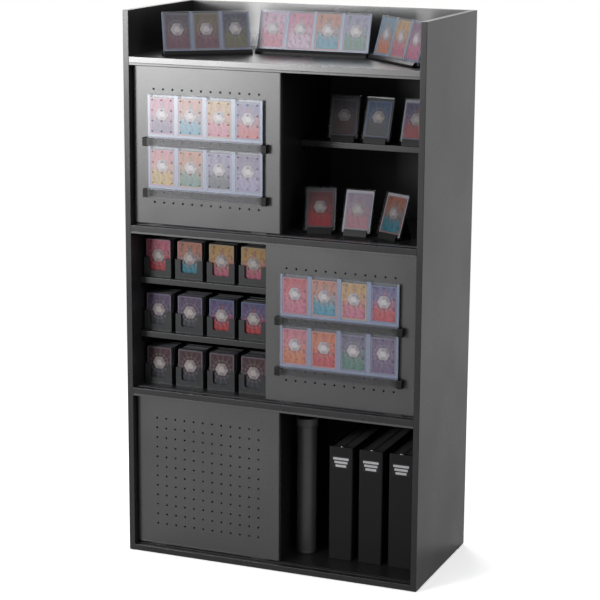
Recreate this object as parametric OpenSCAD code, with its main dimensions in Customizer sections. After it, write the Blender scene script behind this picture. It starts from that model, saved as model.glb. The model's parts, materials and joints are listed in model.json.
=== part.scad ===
// Trading card display case: a tall cabinet of three tiers, each closed over half its width by one
// perforated sliding door, with an open tray on top and the fittings that present the cards.
// The origin is on the floor under the centre of the cabinet. The front faces -Y.

/* [Cabinet] */
// Width over the side panels
cab_w = 765; // [740:5:900]
// Depth over the side panels
cab_d = 375; // [370:5:450]
// Thickness of the cabinet boards and shelves
board_t = 15; // [13:1:18]
// Clear height of one tier
tier_h = 395; // [385:1:450]
// Height of the tray walls above the top panel
tray_h = 110; // [80:5:160]
// Thickness of the back boards
back_t = 4; // [3:0.5:5]
// Height of the floor glides
glide_h = 3; // [2:0.5:6]
// Radius of the banded front edges
band_r = 1; // [0.5:0.1:2]

/* [Doors] */
// Width of one sliding door
door_w = 385; // [375:1:400]
// Depth of the folded door pan
door_t = 12; // [10:1:14]
// Thickness of the door sheet
door_sheet = 1; // [0.8:0.1:1.5]
// Radius of the folded door edges
door_fold_r = 2.5; // [2:0.1:4]
// Width of the lip folded in at the back of the door
door_lip = 9; // [6:1:15]
// Distance from the cabinet front to the door face
door_recess = 19; // [18.5:0.5:22]
// Gap between a closed door and the side panel
door_side_gap = 1.5; // [1:0.5:4]
// Gap between the tier floor and the door
door_rise = 3; // [2.5:0.5:5]
// Gap between the upper guide and the door
door_head = 1.5; // [1:0.5:3]
// Diameter of the door perforations
hole_d = 5; // [4:0.5:6]
// Distance between neighbouring perforations
hole_pitch = 25; // [24:0.5:26]
// Perforations along each side of the square grid
hole_count = 12; // [10:1:12]

/* [Tracks] */
// Width of the lower track channel
track_w = 8; // [7:0.5:10]
// Depth of the lower track in the panel
track_deep = 6; // [5:0.5:8]
// Wall of the lower track
track_wall = 1; // [0.8:0.1:1.5]
// Width of each track flange on the panel
track_flange = 3; // [2:0.5:4]
// Height of the upper guide and its front lip
guide_h = 5; // [4:0.5:7]
// Wall of the upper guide
guide_wall = 1.5; // [1:0.1:2]
// Running gap beside the glide tongues
glide_gap = 0.5; // [0.3:0.1:1]
// Length of one door glide
glide_len = 40; // [30:1:60]

/* [Shelves] */
// Distance from the cabinet front to the shelf and divider fronts
shelf_setback = 43; // [40:1:60]
// Distance from the cabinet front to the front of the card shelf
card_shelf_setback = 170; // [100:5:200]
// Height of the sleeve centre that carries the card shelf
mid_sleeve_rise = 188; // [182:1:212]
// Clearance at each end of a shelf
shelf_gap = 1; // [0.5:0.5:2]
// Distance from the front pin to the shelf front
pin_from_front = 12; // [12:1:30]
// Distance from the rear pin to the back board
pin_from_back = 40; // [30:1:60]
// Diameter of the shelf pin
pin_d = 5; // [4:0.5:6]
// Height from the pin centre to the underside of the shelf
pin_plate_rise = 7; // [6:0.5:9]

/* [Card pockets] */
// Width of a trading card
card_w = 63; // [62:0.5:64]
// Height of a trading card
card_h = 88; // [87:0.5:89]
// Thickness of a card in its sleeve
card_t = 1.2; // [0.8:0.1:1.4]
// Clearance round a card in its pocket
card_gap = 0.4; // [0.2:0.1:0.8]
// Height of a pocket strip
pocket_h = 105; // [102:1:116]
// Thickness of a pocket strip
pocket_t = 5; // [4:0.5:6]
// Height of the closed foot of a pocket
pocket_foot = 10; // [6:1:14]
// Distance between cards on a door strip
door_card_pitch = 75; // [70:1:76]
// Cards in one door strip
door_cards = 4; // [3:1:4]
// Share of the tray's spare width that lies between two cards on a stand
stand_gap_share = 0.086; // [0.06:0.002:0.09]

/* [Door ledges] */
// Height of the clear ledge rail
rail_h = 19; // [16:1:24]
// Depth of the clear ledge rail
rail_d = 14; // [13:0.5:15]
// Wall of the clear ledge rail
rail_wall = 2; // [1.5:0.1:2.5]
// Height of the lips that hold the pocket strip
rail_lip = 4; // [3:0.5:6]
// Width of each ledge bracket beside the rail
bracket_w = 12; // [8:1:16]
// Thickness of the bracket arm behind the rail
bracket_arm = 2; // [1.5:0.1:2.5]

/* [Tray stands] */
// Height of a pocket strip on the tray
stand_pocket_h = 102; // [100:1:106]
// Lean of the pocket strips on the tray
stand_tilt = 15; // [5:1:20]
// Depth of a stand foot
foot_d = 42; // [36:1:60]
// Height of a stand foot
foot_h = 12; // [10:1:16]

/* [Card slabs] */
// Width of a card slab
slab_w = 76; // [74:1:80]
// Height of a card slab
slab_h = 108; // [104:1:115]
// Thickness of a card slab
slab_t = 8; // [6:0.5:10]
// Lean of a slab on its easel
slab_tilt = 18; // [10:1:25]
// Width of an easel
easel_w = 58; // [40:1:70]

/* [Deck trays] */
// Width of a deck tray
deck_w = 74; // [72:1:80]
// Depth of a deck tray
deck_d = 62; // [50:1:80]
// Height of the deck tray back
deck_h = 94; // [92:1:100]
// Height of the deck tray front
deck_front_h = 48; // [40:1:60]
// Wall of a deck tray
deck_wall = 2; // [1.5:0.1:3]
// Share of the compartment's spare width that lies between two deck trays
deck_gap_share = 0.18; // [0.05:0.01:0.25]

/* [Binders and tube] */
// Width of a binder spine
binder_w = 63; // [50:1:70]
// Gap between the binders and the back board
binder_rear_gap = 13; // [5:1:40]
// Height of a binder
binder_h = 290; // [270:1:310]
// Thickness of a binder cover
binder_cover = 2.5; // [2:0.1:4]
// Depth of the zip band below the edges of the covers
zip_inset = 4; // [2:0.5:8]
// Diameter of the mat tube
tube_d = 50; // [40:1:55]
// Height of the mat tube with its cap
tube_h = 350; // [300:1:360]

/* [Hidden] */
$fn = 32;

LOWER = 0;
MIDDLE = 1;
UPPER = 2;
TOP = 3;
TIERS = [LOWER, MIDDLE, UPPER];

board_colour = [0.20, 0.20, 0.21];
door_colour = [0.33, 0.33, 0.34];
black_colour = [0.06, 0.06, 0.07];
steel_colour = [0.70, 0.71, 0.73];
nylon_colour = [0.82, 0.82, 0.80];
clear_colour = [0.80, 0.88, 0.95, 0.35];
card_colour = [0.72, 0.45, 0.50];
tube_colour = [0.42, 0.42, 0.43];

slop = 0.1;
through = 1;

// Planes of the cabinet
left_x = -cab_w / 2;
right_x = cab_w / 2;
in_left = left_x + board_t;
in_right = right_x - board_t;
in_w = in_right - in_left;
front_y = -cab_d / 2;
rear_y = cab_d / 2;
board_back = rear_y - back_t;
shelf_y = front_y + shelf_setback;
shelf_d = board_back - shelf_y;
card_shelf_y = front_y + card_shelf_setback;
div_left = -board_t / 2;
div_right = board_t / 2;
top_z = glide_h + board_t + 3 * (tier_h + board_t) + tray_h;
function tier_z(i) = glide_h + board_t + i * (tier_h + board_t);

// Doors
door_y = front_y + door_recess;
door_mid_y = door_y + door_t / 2;
door_h = tier_h - door_rise - guide_h - door_head;
grid = (hole_count - 1) * hole_pitch;
grid_x = (door_w - grid) / 2;
grid_z = (door_h - grid) / 2;
function door_x(i) = i == MIDDLE ? in_right - door_side_gap - door_w : in_left + door_side_gap;
function door_z(i) = tier_z(i) + door_rise;
door_cavity = door_t - 2 * door_sheet;

// Tracks and glides
track_in = track_w - 2 * track_wall;
tongue_t = track_in - 2 * glide_gap;
tongue_lift = 0.3;
guide_d = door_recess + door_t + guide_h;
glide_block_h = 16;
glide_inset = 36;

// Board fastenings
cam_d = 15;
cam_skin = 2.5;
cam_deep = board_t - cam_skin;
cam_inset = 34;
post_d = 6;
post_screw_d = 5;
bore_skin = 4;
post_screw_deep = board_t - bore_skin;
post_end_gap = 1;
dowel_d = 8;
dowel_side_deep = board_t - bore_skin;
dowel_end_deep = 19;
dowel_beside = 32;
divider_web = 2;
divider_dowel_deep = (board_t - divider_web) / 2;
cam_from_edge = 70;
cam_slot_w = 2;
cam_slot_deep = 3;
cam_ys = [front_y + cam_from_edge, board_back - cam_from_edge];
dowel_ys = [cam_ys[0] + dowel_beside, cam_ys[1] - dowel_beside];
divider_dowel_inset = 40;
divider_dowel_ys = [shelf_y + divider_dowel_inset, board_back - divider_dowel_inset];
tray_dowel_xs = [for (k = [-3, -1, 1, 3]) k * in_w / 8];
tray_dowel_y = (rear_y - board_t + board_back) / 2;
dowel_gap = 0.5;
divider_dowel_gap = 0.3;

// Back boards
rabbet = 7;
back_board_gap = 0.5;
screw_d = 3;
screw_head_d = 7;
screw_head_h = 2;
screw_len = 15;
screw_from_edge = 3.6;
side_screw_inset = 40;
guide_screw_inset = 60;
guide_screw_len = 12;

// Shelves
low_rise = (tier_h - 2 * board_t) / 3;
high_rise = 2 * low_rise + board_t;
sleeve_rises = [low_rise - pin_plate_rise, mid_sleeve_rise, high_rise - pin_plate_rise];
pin_ys = [shelf_y + pin_from_front, board_back - pin_from_back];
card_pin_y = card_shelf_y + pin_from_front;
function pin_columns(i, x) = i == UPPER && x > 0 ? [pin_ys[0], card_pin_y, pin_ys[1]] : pin_ys;
sleeve_wall = 1;
sleeve_flange = 1;
sleeve_d = pin_d + 2 * sleeve_wall;
sleeve_web = 3;
sleeve_deep = (board_t - sleeve_web) / 2;
sleeve_flange_d = sleeve_d + 2 * sleeve_flange;
sleeve_flange_t = 0.8;
pin_plate_t = 1.5;
pin_plate_w = 12;
pin_reach = 10;
pin_end_gap = 1;
card_shelf_z = tier_z(UPPER) + mid_sleeve_rise + pin_plate_rise;
low_deck_z = tier_z(MIDDLE) + low_rise;
high_deck_z = tier_z(MIDDLE) + high_rise;

// Pocket strips and ledges: each strip stands on its rail, and the rail's bracket pegs enter
// the second row of perforations from the bottom and the next row that leaves the strip its height
strip_w = door_cards * door_card_pitch;
strip_clear = 1;
peg_rows = [1, 1 + ceil((pocket_h + rail_h + strip_clear) / hole_pitch)];
peg_from_rail_top = 7.5;
peg_d = hole_d - 2 * slop;
peg_len = 9;
card_r = 3;
pocket_r = 2;
cavity_t = card_t + card_gap;
cavity_w = card_w + 2 * card_gap;
strip_inset = (rail_d - pocket_t) / 2 + 1.5;
lip_t = 1.5;
bracket_over = 1;

// Tray stands: they stand in a row from the right wall, the outer two turned towards the middle
side_stand_cards = 3;
mid_stand_cards = 4;
left_stand_turn = 38;
right_stand_turn = -42;
tray_cards = 2 * side_stand_cards + mid_stand_cards;
stand_card_pitch = card_w + stand_gap_share * (in_w - tray_cards * card_w);
mid_stand_half = mid_stand_cards * stand_card_pitch / 2;
left_stand_half = side_stand_cards * stand_card_pitch / 2 * cos(left_stand_turn);
right_stand_half = side_stand_cards * stand_card_pitch / 2 * cos(right_stand_turn);
right_stand_wall_gap = 25.2;
right_stand_gap = 15.7;
left_stand_gap = 0.4;
right_stand_x = in_right - right_stand_wall_gap - right_stand_half;
mid_stand_x = right_stand_x - right_stand_half - right_stand_gap - mid_stand_half;
left_stand_x = mid_stand_x - mid_stand_half - left_stand_gap - left_stand_half;
// Each stand: X, distance from the front, turn, cards
left_stand = [left_stand_x, 107, left_stand_turn, side_stand_cards];
centre_stand = [mid_stand_x, 203, 0, mid_stand_cards];
right_stand = [right_stand_x, 123, right_stand_turn, side_stand_cards];
stand_slot_z = 5;
foot_front = 12;
foot_ramp = 6;
foot_rear_ramp = 8;
foot_tail_h = 4;

// Slabs: distance from the right wall, distance behind the shelf or divider front, turn
shelf_slabs = [[255, 10, 8], [172, 10, -4], [75, 10, -3]];
floor_slabs = [[275, 43, 16], [185, 45, 0], [101, 38, -26]];
easel_wall = 2.5;
slab_seat = 6;
easel_lip = 9;
easel_rest = 62;
easel_rear = 50;
easel_toe = 2;
easel_heel = 6;
easel_root = 8;
easel_crown = 12;
slab_r = 3;
slab_front_t = slab_t * 0.6;
slab_recess = card_t + card_gap;

// Deck trays
deck_columns = 4;
deck_spare = div_left - in_left - deck_columns * deck_w;
deck_first = 0.08 * deck_spare;
deck_pitch = deck_w + deck_gap_share * deck_spare;
deck_chamfer = 5;
deck_shoulder = 10;
deck_set_back = 15;
deck_y = shelf_y + deck_set_back;
deck_front_gap = 5.5;
deck_step = 15;
deck_notch_w = 44;
deck_notch_r = 6;
deck_floors = [tier_z(MIDDLE), low_deck_z + board_t, high_deck_z + board_t];
block_w = 66;
block_h = 91;
block_r = 2;

// Binders and tube
binder_set_back = 100;
binder_y = front_y + binder_set_back;
binder_d = board_back - binder_rear_gap - binder_y;
binder_wall_gap = 31;
binder_gap = 15;
binder_pitch = binder_w + binder_gap;
binder_count = 3;
binder_r = 4;
zip_pull = [8, 6, 4.5];
tube_from_divider = 42;
tube_x = div_right + tube_from_divider;
tube_wall = 2;
tube_cap_h = 22;
tube_cap_t = 2;
tube_y = binder_y + tube_d / 2;

// A flat outline with round corners on the chosen sides
module rounded(w, h, r) {
  translate([r, 0]) square([w - 2 * r, h]);
  translate([0, r]) square([w, h - 2 * r]);
  for (x = [r, w - r], y = [r, h - r])
    translate([x, y]) circle(r);
}

// An outline whose two corners at x = 0 are round
module front_rounded(d, t, r) {
  translate([r, 0]) square([d - r, t]);
  translate([0, r]) square([r + slop, t - 2 * r]);
  for (y = [r, t - r])
    translate([r, y]) circle(r);
}

// Turns an outline drawn in Y and Z into a length along X
module along_x(w) {
  rotate([90, 0, 90]) linear_extrude(w) children();
}

// A rod along +X
module rod_x(d, len) {
  rotate([0, 90, 0]) cylinder(d = d, h = len);
}

// A rod along +Y
module rod_y(d, len) {
  rotate([-90, 0, 0]) cylinder(d = d, h = len);
}

// A board along X with a banded front edge, its front at y
module cross_board(x, y, z, w, d, t = board_t) {
  translate([x, y, z]) along_x(w) front_rounded(d, t, band_r);
}

// Bores at both ends of a cross board for posts and dowels, and the cam pockets below
module end_bores(z) {
  for (s = [-1, 1]) {
    end_x = s * in_w / 2;
    for (y = cam_ys) {
      translate([end_x - s * cam_inset, y, z - slop]) cylinder(d = cam_d, h = cam_deep + slop);
      translate([s > 0 ? end_x - cam_inset : end_x - through, y, z + board_t / 2])
        rod_x(post_d + 1, cam_inset + through);
    }
    for (y = dowel_ys)
      translate([s > 0 ? end_x - dowel_end_deep : end_x - through, y, z + board_t / 2])
        rod_x(dowel_d + 2 * slop, dowel_end_deep + through);
  }
}

// Bores for the dowels of the dividers above and below a cross board
module divider_bores(z, above, below) {
  for (y = divider_dowel_ys) {
    if (above)
      translate([0, y, z + board_t - divider_dowel_deep])
        cylinder(d = dowel_d + 2 * slop, h = divider_dowel_deep + through);
    if (below)
      translate([0, y, z - through])
        cylinder(d = dowel_d + 2 * slop, h = divider_dowel_deep + through);
  }
}

// The groove that takes the lower track
module track_groove(z) {
  translate([in_left - through, door_mid_y - track_w / 2, z + board_t - track_deep])
    cube([in_w + 2 * through, track_w, track_deep + through]);
}

// Where each back board is screwed on, as [x, z]
function side_screws(i) = [for (s = [-1, 1], k = [0:2])
  [s * (in_w / 2 + screw_from_edge), tier_z(i) + side_screw_inset + k * (tier_h / 2 - side_screw_inset)]];
function edge_screws(i) = [for (z = [tier_z(i) - screw_from_edge, tier_z(i) + tier_h + screw_from_edge],
  k = [-1, 0, 1]) [k * in_w / 3, z]];
function back_screws(i) = concat(side_screws(i), edge_screws(i));
guide_screw_xs = [in_left + guide_screw_inset, 0, in_right - guide_screw_inset];
guide_screw_y = front_y + door_recess / 2;

module back_pilots(i) {
  for (p = back_screws(i))
    translate([p[0], board_back - screw_len, p[1]])
      rod_y(screw_d + slop, screw_len + back_t + through);
}

module guide_pilots(i) {
  for (x = guide_screw_xs)
    translate([x, guide_screw_y, tier_z(i) + tier_h - through])
      cylinder(d = screw_d + slop, h = guide_screw_len + through);
}

// A cross board of the cabinet: i is the tier that it floors
module tier_board(i) {
  z = tier_z(i) - board_t;
  difference() {
    cross_board(in_left, front_y, z, in_w, cab_d - back_t);
    end_bores(z);
    divider_bores(z, i < TOP, i > LOWER);
    if (i < TOP) track_groove(z);
    if (i < TOP) back_pilots(i);
    if (i > LOWER) back_pilots(i - 1);
    if (i > LOWER) guide_pilots(i - 1);
    if (i == LOWER) glide_pilots();
    if (i == TOP) tray_dowel_bores();
  }
}

module tray_dowel_bores() {
  for (x = tray_dowel_xs)
    translate([x, tray_dowel_y, tier_z(TOP) - dowel_side_deep])
      cylinder(d = dowel_d + 2 * slop, h = dowel_side_deep + dowel_end_deep);
}

// Holes for the sleeves of one wall face at x, drilled towards side s
module sleeve_holes(x, s, tiers = TIERS) {
  for (i = tiers, r = sleeve_rises, y = pin_columns(i, x))
    translate([s > 0 ? x - slop : x - sleeve_deep, y, tier_z(i) + r])
      rod_x(sleeve_d, sleeve_deep + slop);
}

// A side panel, s is -1 at the left and 1 at the right
module side_panel(s) {
  outer = s * cab_w / 2;
  inner = s * in_w / 2;
  low_x = min(outer, inner);
  difference() {
    translate([low_x, front_y, glide_h])
      linear_extrude(top_z - glide_h)
        translate([board_t, 0]) rotate(90) front_rounded(cab_d, board_t, band_r);
    translate([s > 0 ? inner - slop : inner - rabbet, board_back, glide_h - through])
      cube([rabbet + slop, back_t + through, tier_z(TOP) - glide_h + through]);
    for (i = [LOWER:TOP]) {
      z = tier_z(i) - board_t / 2;
      for (y = cam_ys)
        translate([s > 0 ? inner - slop : inner - post_screw_deep, y, z])
          rod_x(post_screw_d + slop, post_screw_deep + slop);
      for (y = dowel_ys)
        translate([s > 0 ? inner - slop : inner - dowel_side_deep, y, z])
          rod_x(dowel_d + 2 * slop, dowel_side_deep + slop);
    }
    sleeve_holes(inner, s);
    for (i = TIERS) back_pilots(i);
    glide_pilots();
  }
}

module left_side_panel() color(board_colour) side_panel(-1);
module right_side_panel() color(board_colour) side_panel(1);
module bottom_panel() color(board_colour) tier_board(LOWER);
module lower_middle_panel() color(board_colour) tier_board(MIDDLE);
module upper_middle_panel() color(board_colour) tier_board(UPPER);
module top_panel() color(board_colour) tier_board(TOP);

// The tray's back wall stands on the rear of the top panel
module tray_back_panel() color(board_colour)
  difference() {
    translate([in_left, rear_y - board_t, tier_z(TOP)]) cube([in_w, board_t, tray_h]);
    tray_dowel_bores();
  }

// A back board meets its neighbours at the middle of the boards between them
module back_board(i) color(black_colour) {
  low = i == LOWER ? glide_h : tier_z(i) - board_t / 2 + back_board_gap / 2;
  high = i == UPPER ? tier_z(TOP) : tier_z(i + 1) - board_t / 2 - back_board_gap / 2;
  difference() {
    translate([-in_w / 2 - rabbet + back_board_gap, board_back, low])
      cube([in_w + 2 * (rabbet - back_board_gap), back_t, high - low]);
    back_pilots(i);
  }
}

module lower_back_board() back_board(LOWER);
module middle_back_board() back_board(MIDDLE);
module upper_back_board() back_board(UPPER);

// An upright divider between the left and right compartments of tier i
module divider(i) color(board_colour)
  difference() {
    translate([div_left, shelf_y, tier_z(i)])
      linear_extrude(tier_h)
        translate([board_t, 0]) rotate(90) front_rounded(shelf_d, board_t, band_r);
    for (y = divider_dowel_ys, z = [tier_z(i) - through, tier_z(i) + tier_h - dowel_end_deep])
      translate([0, y, z]) cylinder(d = dowel_d + 2 * slop, h = dowel_end_deep + through);
    sleeve_holes(div_left, 1, [i]);
    sleeve_holes(div_right, -1, [i]);
  }

module lower_divider() divider(LOWER);
module middle_divider() divider(MIDDLE);
module upper_divider() divider(UPPER);

shelf_w = in_right - div_right - 2 * shelf_gap;
left_shelf_x = in_left + shelf_gap;
right_shelf_x = div_right + shelf_gap;

module card_shelf() color(board_colour)
  cross_board(right_shelf_x, card_shelf_y, card_shelf_z, shelf_w, board_back - shelf_gap - card_shelf_y);
module low_deck_shelf() color(board_colour)
  cross_board(left_shelf_x, shelf_y, low_deck_z, shelf_w, shelf_d - shelf_gap);
module high_deck_shelf() color(board_colour)
  cross_board(left_shelf_x, shelf_y, high_deck_z, shelf_w, shelf_d - shelf_gap);

// A shelf support: a pin in its sleeve, and an angle whose plate carries the shelf.
// s is 1 where the pin points to +X, into a wall on the right
module shelf_pin(x, y, z, s) {
  translate([x, y, z]) mirror([s > 0 ? 0 : 1, 0, 0]) {
    translate([-sleeve_flange_t, 0, 0])
      rod_x(pin_d - 2 * slop, sleeve_deep + sleeve_flange_t - pin_end_gap);
    translate([-sleeve_flange_t - pin_plate_t, -pin_plate_w / 2, -pin_plate_w / 2])
      cube([pin_plate_t, pin_plate_w, pin_plate_w / 2 + pin_plate_rise]);
    translate([-sleeve_flange_t - pin_reach, -pin_plate_w / 2, pin_plate_rise - pin_plate_t])
      cube([pin_reach, pin_plate_w, pin_plate_t]);
  }
}

module shelf_pins() color(steel_colour) {
  for (y = [card_pin_y, pin_ys[1]]) {
    shelf_pin(div_right, y, card_shelf_z - pin_plate_rise, -1);
    shelf_pin(in_right, y, card_shelf_z - pin_plate_rise, 1);
  }
  for (y = pin_ys, z = [low_deck_z, high_deck_z]) {
    shelf_pin(in_left, y, z - pin_plate_rise, -1);
    shelf_pin(div_left, y, z - pin_plate_rise, 1);
  }
}

// A metal sleeve pressed into a wall face at x. s is 1 where it goes in towards +X
module pin_sleeve(x, y, z, s) {
  translate([x, y, z]) mirror([s > 0 ? 0 : 1, 0, 0]) rotate([0, 90, 0])
    difference() {
      union() {
        translate([0, 0, -sleeve_flange_t]) cylinder(d = sleeve_flange_d, h = sleeve_flange_t);
        cylinder(d = sleeve_d, h = sleeve_deep);
      }
      translate([0, 0, -through]) cylinder(d = pin_d, h = sleeve_deep + 2 * through);
    }
}

module pin_sleeves() color(steel_colour)
  for (i = TIERS, r = sleeve_rises, face = [[in_left, -1], [div_left, 1], [div_right, -1], [in_right, 1]])
    for (y = pin_columns(i, face[0]))
      pin_sleeve(face[0], y, tier_z(i) + r, face[1]);

// Glides under the sides and the middle of the bottom panel
glide_xs = [left_x + board_t / 2, 0, right_x - board_t / 2];
glide_from_edge = 30;
glide_ys = [front_y + glide_from_edge, board_back - glide_from_edge];
glide_margin = 1;
glide_d = board_t - 2 * glide_margin;
glide_nail_d = 2;
glide_nail = board_t - bore_skin;

module glide_pilots() {
  for (x = glide_xs, y = glide_ys)
    translate([x, y, glide_h - slop]) cylinder(d = glide_nail_d + slop, h = glide_nail + 2 * slop);
}

module floor_glides() color(black_colour)
  for (x = glide_xs, y = glide_ys)
    translate([x, y, 0]) {
      cylinder(d = glide_d, h = glide_h);
      cylinder(d = glide_nail_d, h = glide_h + glide_nail);
    }

// A round-headed screw along +Z from z = 0, its head below
module wood_screw(len) {
  cylinder(d = screw_d, h = len);
  rotate_extrude()
    intersection() {
      translate([0, -screw_head_h]) square([screw_head_d / 2, screw_head_h]);
      translate([0, screw_head_d - screw_head_h]) circle(screw_head_d, $fn = 64);
    }
}

module wood_screws() color(steel_colour) {
  for (i = TIERS, p = back_screws(i))
    translate([p[0], rear_y, p[1]]) rotate([90, 0, 0]) wood_screw(screw_len);
  for (i = TIERS, x = guide_screw_xs)
    translate([x, guide_screw_y, tier_z(i) + tier_h - guide_wall]) wood_screw(guide_screw_len);
}

// Cams in the undersides of the cross boards, with posts that screw into the side panels
module cam_fittings() color(steel_colour)
  for (i = [LOWER:TOP], s = [-1, 1], y = cam_ys) {
    z = tier_z(i) - board_t;
    inner = s * in_w / 2;
    post_len = cam_inset - cam_d / 2 - slop;
    translate([inner - s * cam_inset, y, z]) difference() {
      cylinder(d = cam_d - 2 * slop, h = cam_deep - slop);
      translate([-cam_d / 4, -cam_slot_w / 2, -slop]) cube([cam_d / 2, cam_slot_w, cam_slot_deep]);
    }
    translate([s > 0 ? inner - post_len : inner, y, z + board_t / 2]) rod_x(post_d, post_len);
    translate([s > 0 ? inner : inner - post_screw_deep + post_end_gap, y, z + board_t / 2])
      rod_x(post_screw_d, post_screw_deep - post_end_gap);
  }

module dowels() color("burlywood") {
  for (i = [LOWER:TOP], s = [-1, 1], y = dowel_ys) {
    inner = s * in_w / 2;
    into_side = dowel_side_deep - dowel_gap;
    into_board = dowel_end_deep - dowel_gap;
    translate([s > 0 ? inner - into_board : inner - into_side, y, tier_z(i) - board_t / 2])
      rod_x(dowel_d, into_side + into_board);
  }
  for (i = TIERS, y = divider_dowel_ys) {
    sink = divider_dowel_deep - divider_dowel_gap;
    rise = dowel_end_deep - dowel_gap;
    translate([0, y, tier_z(i) - sink]) cylinder(d = dowel_d, h = sink + rise);
    translate([0, y, tier_z(i) + tier_h - rise]) cylinder(d = dowel_d, h = sink + rise);
  }
  for (x = tray_dowel_xs)
    translate([x, tray_dowel_y, tier_z(TOP) - dowel_side_deep + dowel_gap])
      cylinder(d = dowel_d, h = dowel_side_deep + dowel_end_deep - 2 * dowel_gap);
}

// The lower track: a channel in the panel's groove with two flanges on its face
module door_track(i) color(steel_colour)
  translate([in_left, door_mid_y, tier_z(i)]) along_x(in_w)
    difference() {
      union() {
        translate([-track_w / 2, -track_deep]) square([track_w, track_deep]);
        translate([-track_w / 2 - track_flange, 0]) square([track_w + 2 * track_flange, track_wall]);
      }
      translate([-track_in / 2, -track_deep + track_wall]) square([track_in, track_deep + through]);
    }

module lower_door_track() door_track(LOWER);
module middle_door_track() door_track(MIDDLE);
module upper_door_track() door_track(UPPER);

// The upper guide: a plate under the panel with a front lip, two legs that hold the
// door's tongues, and a rear lip
module door_guide(i) color(board_colour)
  difference() {
    translate([in_left, front_y, tier_z(i) + tier_h - guide_h]) along_x(in_w) {
      translate([0, guide_h - guide_wall]) square([guide_d, guide_wall]);
      mid = door_recess + door_t / 2;
      for (y = [0, mid - track_in / 2 - guide_wall, mid + track_in / 2, guide_d - guide_wall])
        translate([y, 0]) square([guide_wall, guide_h]);
    }
    guide_pilots(i);
    for (x = guide_screw_xs)
      translate([x, guide_screw_y, tier_z(i) + tier_h - guide_h]) cylinder(d = screw_d + slop, h = guide_h);
  }

module lower_door_guide() door_guide(LOWER);
module middle_door_guide() door_guide(MIDDLE);
module upper_door_guide() door_guide(UPPER);

// A solid with the door's outline, drawn in by m on every side; its folds have radius r
module door_blank(m, r) {
  intersection() {
    translate([m, m, 0]) linear_extrude(door_h)
      translate([door_w - 2 * m, 0]) rotate(90) front_rounded(door_t - 2 * m, door_w - 2 * m, r);
    translate([0, m, m]) along_x(door_w)
      front_rounded(door_t - 2 * m, door_h - 2 * m, r);
  }
}

// Where the glides sit along the door
glide_starts = [glide_inset, door_w - glide_inset - glide_len];

// The folded pan of a door, its lower left front corner at the origin
module door_pan() color(door_colour)
  difference() {
    door_blank(0, door_fold_r);
    door_blank(door_sheet, door_fold_r - door_sheet);
    translate([door_lip, door_t / 2, door_lip])
      cube([door_w - 2 * door_lip, door_t, door_h - 2 * door_lip]);
    for (i = [0:hole_count - 1], j = [0:hole_count - 1])
      translate([grid_x + i * hole_pitch, -through, grid_z + j * hole_pitch])
        rod_y(hole_d, door_sheet + 2 * through);
    for (x = glide_starts, z = [-through, door_h - door_sheet - through])
      translate([x - slop, (door_t - tongue_t) / 2 - slop, z])
        cube([glide_len + 2 * slop, tongue_t + 2 * slop, door_sheet + 2 * through]);
  }

// A nylon glide: a block inside the pan and a tongue that runs in the track or guide.
// reach is how far the tongue goes past the pan
module door_glide(reach) {
  block_t = door_cavity - 2 * slop;
  chamfer = 3;
  translate([0, (door_t - block_t) / 2, door_sheet]) along_x(glide_len)
    front_rounded(block_t, glide_block_h, door_fold_r);
  translate([0, (door_t + tongue_t) / 2, 0]) rotate([90, 0, 0]) linear_extrude(tongue_t)
    polygon([[0, door_sheet], [0, chamfer - reach], [chamfer, -reach], [glide_len - chamfer, -reach],
      [glide_len, chamfer - reach], [glide_len, door_sheet]]);
}

low_reach = door_rise + track_deep - track_wall - tongue_lift;
high_reach = door_head + guide_h - guide_wall - glide_gap;

module place_door(i) {
  translate([door_x(i), door_y, door_z(i)]) children();
}

module door_glides() color(nylon_colour)
  for (x = glide_starts) {
    translate([x, 0, 0]) door_glide(low_reach);
    translate([x, 0, door_h]) mirror([0, 0, 1]) door_glide(high_reach);
  }

module lower_door_panel() place_door(LOWER) door_pan();
module middle_door_panel() place_door(MIDDLE) door_pan();
module upper_door_panel() place_door(UPPER) door_pan();
module lower_door_glides() place_door(LOWER) door_glides();
module middle_door_glides() place_door(MIDDLE) door_glides();
module upper_door_glides() place_door(UPPER) door_glides();

// A clear strip of n card pockets, open at the top; its lower left front corner at the origin
module pocket_strip(n, pitch, h) color(clear_colour)
  difference() {
    translate([0, pocket_t, 0]) rotate([90, 0, 0]) linear_extrude(pocket_t)
      rounded(n * pitch, h, pocket_r);
    for (k = [0:n - 1])
      translate([(k + 0.5) * pitch - cavity_w / 2, (pocket_t - cavity_t) / 2, pocket_foot])
        cube([cavity_w, cavity_t, h]);
  }

// The cards that stand in such a strip
module strip_cards(n, pitch) color(card_colour)
  for (k = [0:n - 1])
    translate([(k + 0.5) * pitch - card_w / 2, (pocket_t + card_t) / 2, pocket_foot])
      rotate([90, 0, 0]) linear_extrude(card_t) rounded(card_w, card_h, card_r);

rail_x = (door_w - strip_w) / 2;
rail_y = -rail_d - bracket_arm;
function rail_z(row) = grid_z + row * hole_pitch + peg_from_rail_top - rail_h;

// The clear rail: a hollow bar with two lips that hold the strip's foot
module ledge_rail() color(clear_colour)
  along_x(strip_w)
    difference() {
      union() {
        square([rail_d, rail_h]);
        for (y = [strip_inset - lip_t - slop, strip_inset + pocket_t + slop])
          translate([y, rail_h - slop]) square([lip_t, rail_lip + slop]);
      }
      translate([rail_wall, rail_wall]) square([rail_d - 2 * rail_wall, rail_h - 2 * rail_wall]);
    }

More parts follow.
